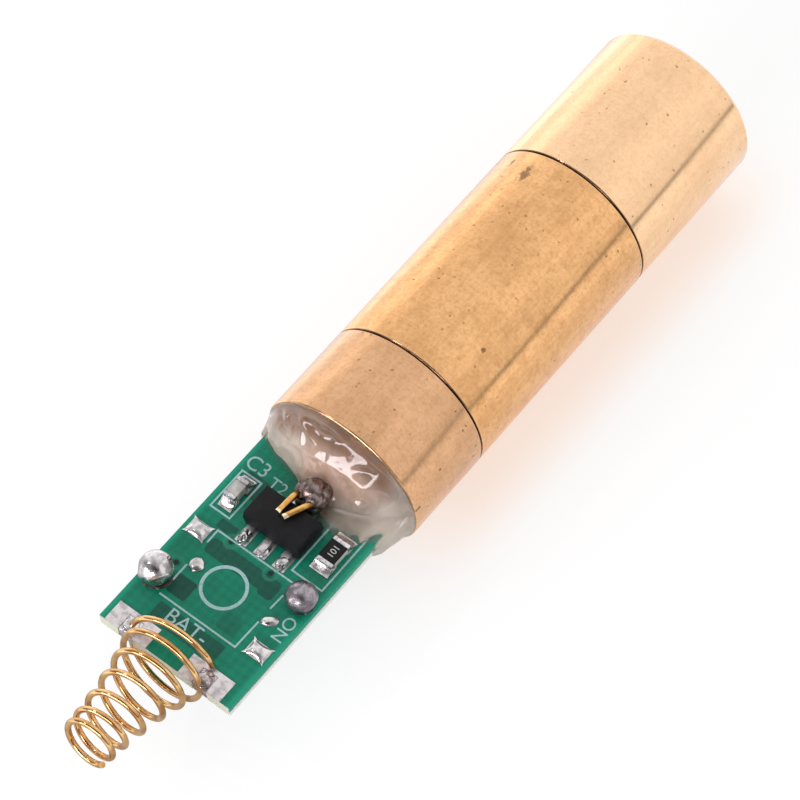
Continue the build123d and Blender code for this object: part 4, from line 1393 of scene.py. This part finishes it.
class LASER_OT_glue(bpy.types.Operator):
    """Pour the potting glue behind the barrel and over the board"""

    bl_idname = "laser.glue"
    bl_label = "Potting Glue"

    rim = barrel_r - 0.12
    usual_drop = 4.4
    crease = 60.0
    cloud_inset = 0.35
    # Across the glue, where it meets the board behind the rim
    toes = (
        (-5.9, 2.4), (-5.26, 3.4), (-4.09, 4.1), (-2.45, 4.2), (-0.62, 3.7),
        (1.5, 2.65), (2.43, 2.4), (3.67, 2.0), (5.01, 1.5), (5.9, 1.0),
    )
    # Across the glue, how far below the rim its steep shoulder starts and ends
    shoulders = (
        (-5.9, 0.4, 1.2), (-4.0, 0.75, 1.6), (-2.9, 0.95, 2.05), (-2.05, 1.02, 2.15), (-1.0, 1.2, 2.2),
        (0.0, 1.4, 2.35), (1.2, 1.65, 2.55), (5.9, 1.6, 2.5),
    )
    # Threads of glue that lie on the skin: route, height and reach
    threads = (
        (((2.75, 4.6), (2.6, 4.15), (1.9, 3.95), (1.2, 3.9)), 0.13, 0.17),
        (((2.45, 4.7), (1.65, 5.1), (0.7, 5.1), (-0.35, 4.95)), 0.08, 0.15),
        (((0.9, 3.6), (0.0, 3.95), (-0.75, 4.1)), 0.12, 0.40),
    )
    # Dents and lumps in the skin: place, height and reach
    lumps = (
        ((-2.6, 3.8), -0.20, (0.70, 0.28)),
        ((-4.1, 2.9), -0.20, (0.5, 0.6)),
        ((3.95, 3.4), 0.32, (0.34, 0.34)),
        ((1.9, 4.45), -0.12, (0.5, 0.3)),
        ((-0.40, 1.5), 0.60, (1.00, 0.60)),
        ((-3.1, 1.95), 0.16, (0.34, 0.30)),
    )

    def read(self, table, y):
        """The values of a table at a place across the glue, between its rows."""
        for near, far in zip(table, table[1:]):
            if y <= far[0]:
                share = max(0.0, (y - near[0]) / (far[0] - near[0]))
                return [low + (high - low) * share for low, high in zip(near[1:], far[1:])]
        return table[-1][1:]

    def off_thread(self, y, z, route):
        """How far a place lies from a thread."""
        gaps = []
        for start, end in zip(route, route[1:]):
            run, off = Vector(end) - Vector(start), Vector((y, z)) - Vector(start)
            share = max(0.0, min(1.0, off.dot(run) / run.length_squared))
            gaps.append((off - run * share).length)
        return min(gaps)

    def slump(self, y, drop, full):
        """Depth at a drop below the rim: a thin film, a steep shoulder, then an even run to the toe."""
        toe = self.read(self.toes, y)[0]
        knee, end = (level * min(1.0, full / self.usual_drop) for level in self.read(self.shoulders, y))
        film, flat, steep = knee * 0.65, 0.25, 1.0
        depth = flat * min(drop, film)
        if drop > film:
            bend = min(drop, knee) - film
            depth += flat * bend + (steep - flat) * bend * bend / (2 * (knee - film))
        depth += steep * max(0.0, min(drop, end) - knee)
        if drop > end:
            run = min(1.0, (drop - end) / max(0.2, full - end))
            rest = max(0.0, toe - depth)
            even = min(rest, 0.55 * (full - end))
            depth += even * run + (rest - even) * run ** 20
        return depth

    def skin(self, y, z):
        """What the threads, dents and lumps add above the board."""
        skin = 0.0
        for route, height, reach in self.threads:
            skin += height * math.exp(-(self.off_thread(y, z, route) / reach) ** 2)
        for place, height, reach in self.lumps:
            off_y, off_z = (y - place[0]) / reach[0], (z - place[1]) / reach[1]
            skin += height * math.exp(-off_y ** 2 - off_z ** 2)
        return skin

    def depth(self, y, z):
        """How far the glue stands behind the rim at a place across it."""
        top = math.sqrt(max(0.04, self.rim * self.rim - y * y))
        skin = 0.0
        if z > board_top:
            body = self.slump(y, max(0.0, top - z), max(0.3, top - board_top))
            skin = self.skin(y, z)
        else:
            climb = min(1.0, max(0.0, board_low.z - z) / max(0.3, top + board_low.z))
            body = self.read(self.toes, y)[0] * (1.0 - climb ** 1.5) * (1.0 - 0.2 * min(1.0, 3.0 * climb))
        place = Vector((y, z, 0.0))
        skin += 0.20 * noise.noise(place * 0.55) + 0.09 * noise.noise(place * 1.3 + Vector((3.0, 1.0, 2.0)))
        inside = max(0.0, self.rim - math.hypot(y, z))
        fade = min(1.0, inside / 0.9)
        return max(0.0, body * min(1.0, inside / 0.3) + skin * fade * fade * (3.0 - 2.0 * fade))

    def body(self, inset, rings, steps):
        """The glue, or the cloud that lies inside it by an inset."""
        outer, pocket_r = self.rim - inset * 0.2, barrel_r - pocket_wall - fit_gap - inset
        film_x = rear_x - 0.06 + inset * 0.05
        seat_x, pocket_x = rear_x - 0.005, rear_x + pocket_depth - fit_gap
        bm = bmesh.new()
        profile = [(film_x, outer * ring / rings) for ring in range(rings + 1)]
        profile += [(seat_x, outer), (seat_x, pocket_r), (pocket_x, pocket_r), (pocket_x, 0.0)]
        turned(bm, profile, steps, closed=False)
        for vert in bm.verts:
            if vert.co.x < rear_x - 0.02:
                vert.co.x -= max(0.0, self.depth(vert.co.y, vert.co.z) - inset)
        return bm

    def execute(self, context):
        props = context.scene.laser_module.glue
        skin = self.body(0.0, 90, 300)
        add_piece(skin, "glue", "glue_clear", [potting(props)], ["potting_glue"], self.crease)
        cloud = self.body(self.cloud_inset, 44, 140)
        add_piece(cloud, "glue_cloud", "glue_clear", [glue_cloud(props)], (), self.crease)
        return {"FINISHED"}


class LASER_OT_stage(bpy.types.Operator):
    """Set the floor, the light and the camera"""

    bl_idname = "laser.stage"
    bl_label = "Stage"

    floor_gap = 0.00002
    floor_half = 2.0
    floor_light = 1.13
    floor_share = 0.66
    sky_light = 1.06
    lamp_colour = (0.97, 0.94, 1.0)
    sensor_width = 36.0
    camera_right = (0.6204, -0.7838, -0.0265)
    camera_up = (0.6864, 0.5263, 0.5019)
    camera_back = (-0.3795, -0.3296, 0.8645)

    def floor(self):
        bm = bmesh.new()
        bmesh.ops.create_grid(bm, x_segments=1, y_segments=1, size=self.floor_half)
        bmesh.ops.translate(bm, vec=(0.0, 0.0, cad_box[0].z - self.floor_gap), verts=bm.verts)
        mesh = bpy.data.meshes.new("floor")
        bm.to_mesh(mesh)
        bm.free()
        floor = bpy.data.objects.new("floor", mesh)
        bpy.context.scene.collection.objects.link(floor)
        mesh.materials.append(self.floor_finish())

    def floor_finish(self):
        """White floor that keeps the shadow, with warm light beside the brass, open from below."""
        material = bpy.data.materials.new("floor")
        material.use_nodes = True
        nodes = material.node_tree.nodes
        nodes.remove(nodes["Principled BSDF"])
        shade = Shade(material.node_tree)
        ray = shade.add("LightPath").outputs
        seen = shade.math("MAXIMUM", ray["Is Camera Ray"], ray["Is Glossy Ray"], ray["Is Transmission Ray"])
        x, y, _ = shade.parts(shade.add("TexCoord").outputs["Object"])
        # Painted warm light on the floor beside the barrel, as the brass would throw it
        glow = shade.times(
            shade.ramp(y, -0.0105, -0.0055), shade.ramp(y, 0.002, -0.004),
            shade.ramp(x, -0.040, -0.028), shade.ramp(x, 0.006, -0.004))
        tint = shade.mix(glow, (1.0, 1.0, 1.0, 1.0), (1.0, 0.83, 0.73, 1.0))
        # What the brass mirrors: brighter on both sides, dimmer under the board
        left = shade.times(shade.ramp(y, 0.010, 0.024, 0.0, 0.95), shade.ramp(y, 0.026, 0.045, 1.0, 0.5))
        right = shade.ramp(y, -0.012, -0.050, 0.0, 0.22)
        dim = shade.times(shade.ramp(x, -0.038, -0.045, 0.0, 0.7), shade.ramp(x, -0.080, -0.062))
        mirrored = shade.math("SUBTRACT", shade.math("ADD", left, right), dim)
        strength = shade.math("ADD", shade.times(ray["Is Glossy Ray"], mirrored), self.floor_light)
        matte = shade.add("BsdfDiffuse", {"Color": (0.9, 0.9, 0.9, 1.0)}).outputs[0]
        white = shade.add("Emission", {"Color": tint, "Strength": strength}).outputs[0]
        lit = shade.times(seen, self.floor_share)
        blend = shade.add("MixShader", {0: lit, 1: matte, 2: white}).outputs[0]
        below = shade.add("NewGeometry").outputs["Backfacing"]
        clear = shade.add("BsdfTransparent").outputs[0]
        surface = shade.add("MixShader", {0: below, 1: blend, 2: clear}).outputs[0]
        shade.feed(nodes["Material Output"], {"Surface": surface})
        return material

    def sky(self):
        world = bpy.data.worlds.new("studio")
        bpy.context.scene.world = world
        world.use_nodes = True
        shade = Shade(world.node_tree)
        way = shade.add("TexCoord").outputs["Generated"]

        def patch(direction, edge, gain):
            towards = {0: way, 1: Vector(direction).normalized()}
            along = shade.add("VectorMath", towards, operation="DOT_PRODUCT").outputs["Value"]
            return shade.ramp(along, edge, 1.0, 0.0, gain)

        # Lighter and darker patches that the barrel mirrors
        light = shade.math(
            "ADD",
            patch((0.38, -0.72, 0.58), 0.80, 0.04),
            patch((0.38, 0.92, 0.0), 0.86, 0.42),
            patch((0.38, 0.19, 0.90), 0.85, -0.06),
            patch((0.38, -0.88, 0.28), 0.86, -0.08),
            self.sky_light,
        )
        # A dark strip low on the right
        x, y, z = shade.parts(way)
        level = shade.math("ABSOLUTE", shade.math("SUBTRACT", z, 0.06))
        strip = shade.times(shade.ramp(level, 0.055, 0.02, 0.0, 0.70), shade.ramp(y, -0.3, -0.6))
        light = shade.math("SUBTRACT", light, strip)
        # Dimmer behind the board and round the camera
        behind = shade.ramp(x, -0.45, 0.2, 0.30, 1.0)
        round_camera = shade.math("SUBTRACT", 1.0, patch((-0.38, -0.33, 0.86), 0.80, 0.8))
        light = shade.times(light, behind, round_camera)
        ray = shade.add("LightPath").outputs["Is Camera Ray"]
        light = shade.add("Mix", {0: ray, 2: light, 3: 1.0}, data_type="FLOAT").outputs[0]
        shade.feed(world.node_tree.nodes["Background"], {"Color": (1.0, 1.0, 1.0, 1.0), "Strength": light})

    def lamp(self, name, target, offset, size, power, roll=0.0):
        data = bpy.data.lights.new(name, "AREA")
        data.shape = "RECTANGLE"
        data.size, data.size_y = size
        data.energy = power
        data.color = self.lamp_colour
        lamp = bpy.data.objects.new(name, data)
        lamp.location = target + Vector(offset)
        aim = (target - lamp.location).to_track_quat("-Z", "Y").to_matrix()
        lamp.rotation_euler = (aim @ Matrix.Rotation(roll, 3, "Z")).to_euler()
        bpy.context.scene.collection.objects.link(lamp)

    def camera(self, props):
        data = bpy.data.cameras.new("camera")
        data.lens = props.lens
        data.sensor_width = self.sensor_width
        data.clip_start, data.clip_end = 0.01, 10.0
        camera = bpy.data.objects.new("camera", data)
        bpy.context.scene.collection.objects.link(camera)
        turn = Matrix((self.camera_right, self.camera_up, self.camera_back)).transposed().to_4x4()
        camera.matrix_world = Matrix.Translation(props.camera_place) @ turn
        bpy.context.scene.camera = camera

    def execute(self, context):
        props = context.scene.laser_module.stage
        self.floor()
        self.sky()
        glue_place = Vector((rear_x - 2.0, 0.0, 2.0)) * MM
        self.lamp("key", glue_place, (-0.105, 0.165, 0.228), (0.03, 0.03), props.key_power)
        self.lamp("strip", glue_place, (-0.275, 0.03, 0.10), (0.36, 0.08), props.strip_power, 0.25)
        self.camera(props)
        context.scene.view_settings.view_transform = "Standard"
        return {"FINISHED"}


OPERATORS = (
    LASER_OT_barrel,
    LASER_OT_optics,
    LASER_OT_board,
    LASER_OT_print,
    LASER_OT_solder,
    LASER_OT_flux,
    LASER_OT_transistor,
    LASER_OT_chips,
    LASER_OT_leads,
    LASER_OT_spring,
    LASER_OT_glue,
    LASER_OT_stage,
)


class LASER_PT_panel(bpy.types.Panel):
    """Buttons and settings of the laser module"""

    bl_idname = "LASER_PT_panel"
    bl_label = "Laser Module"
    bl_space_type = "VIEW_3D"
    bl_region_type = "UI"
    bl_category = "Laser Module"

    def draw(self, context):
        module = context.scene.laser_module
        for operator in OPERATORS:
            self.layout.operator(operator.bl_idname)
        for group in (module.barrel, module.board, module.spring, module.glue, module.stage):
            box = self.layout.box()
            for name in group.__annotations__:
                box.prop(group, name)


CLASSES = (
    LASER_PG_barrel,
    LASER_PG_board,
    LASER_PG_spring,
    LASER_PG_glue,
    LASER_PG_stage,
    LASER_PG_module,
    *OPERATORS,
    LASER_PT_panel,
)


def register():
    for item in CLASSES:
        bpy.utils.register_class(item)
    bpy.types.Scene.laser_module = PointerProperty(type=LASER_PG_module)


def unregister():
    del bpy.types.Scene.laser_module
    for item in reversed(CLASSES):
        bpy.utils.unregister_class(item)


def main():
    register()
    bpy.ops.laser.barrel()
    bpy.ops.laser.optics()
    bpy.ops.laser.board()
    bpy.ops.laser.print()
    bpy.ops.laser.solder()
    bpy.ops.laser.flux()
    bpy.ops.laser.transistor()
    bpy.ops.laser.chips()
    bpy.ops.laser.leads()
    bpy.ops.laser.spring()
    bpy.ops.laser.glue()
    bpy.ops.laser.stage()


if __name__ == "__main__":
    main()
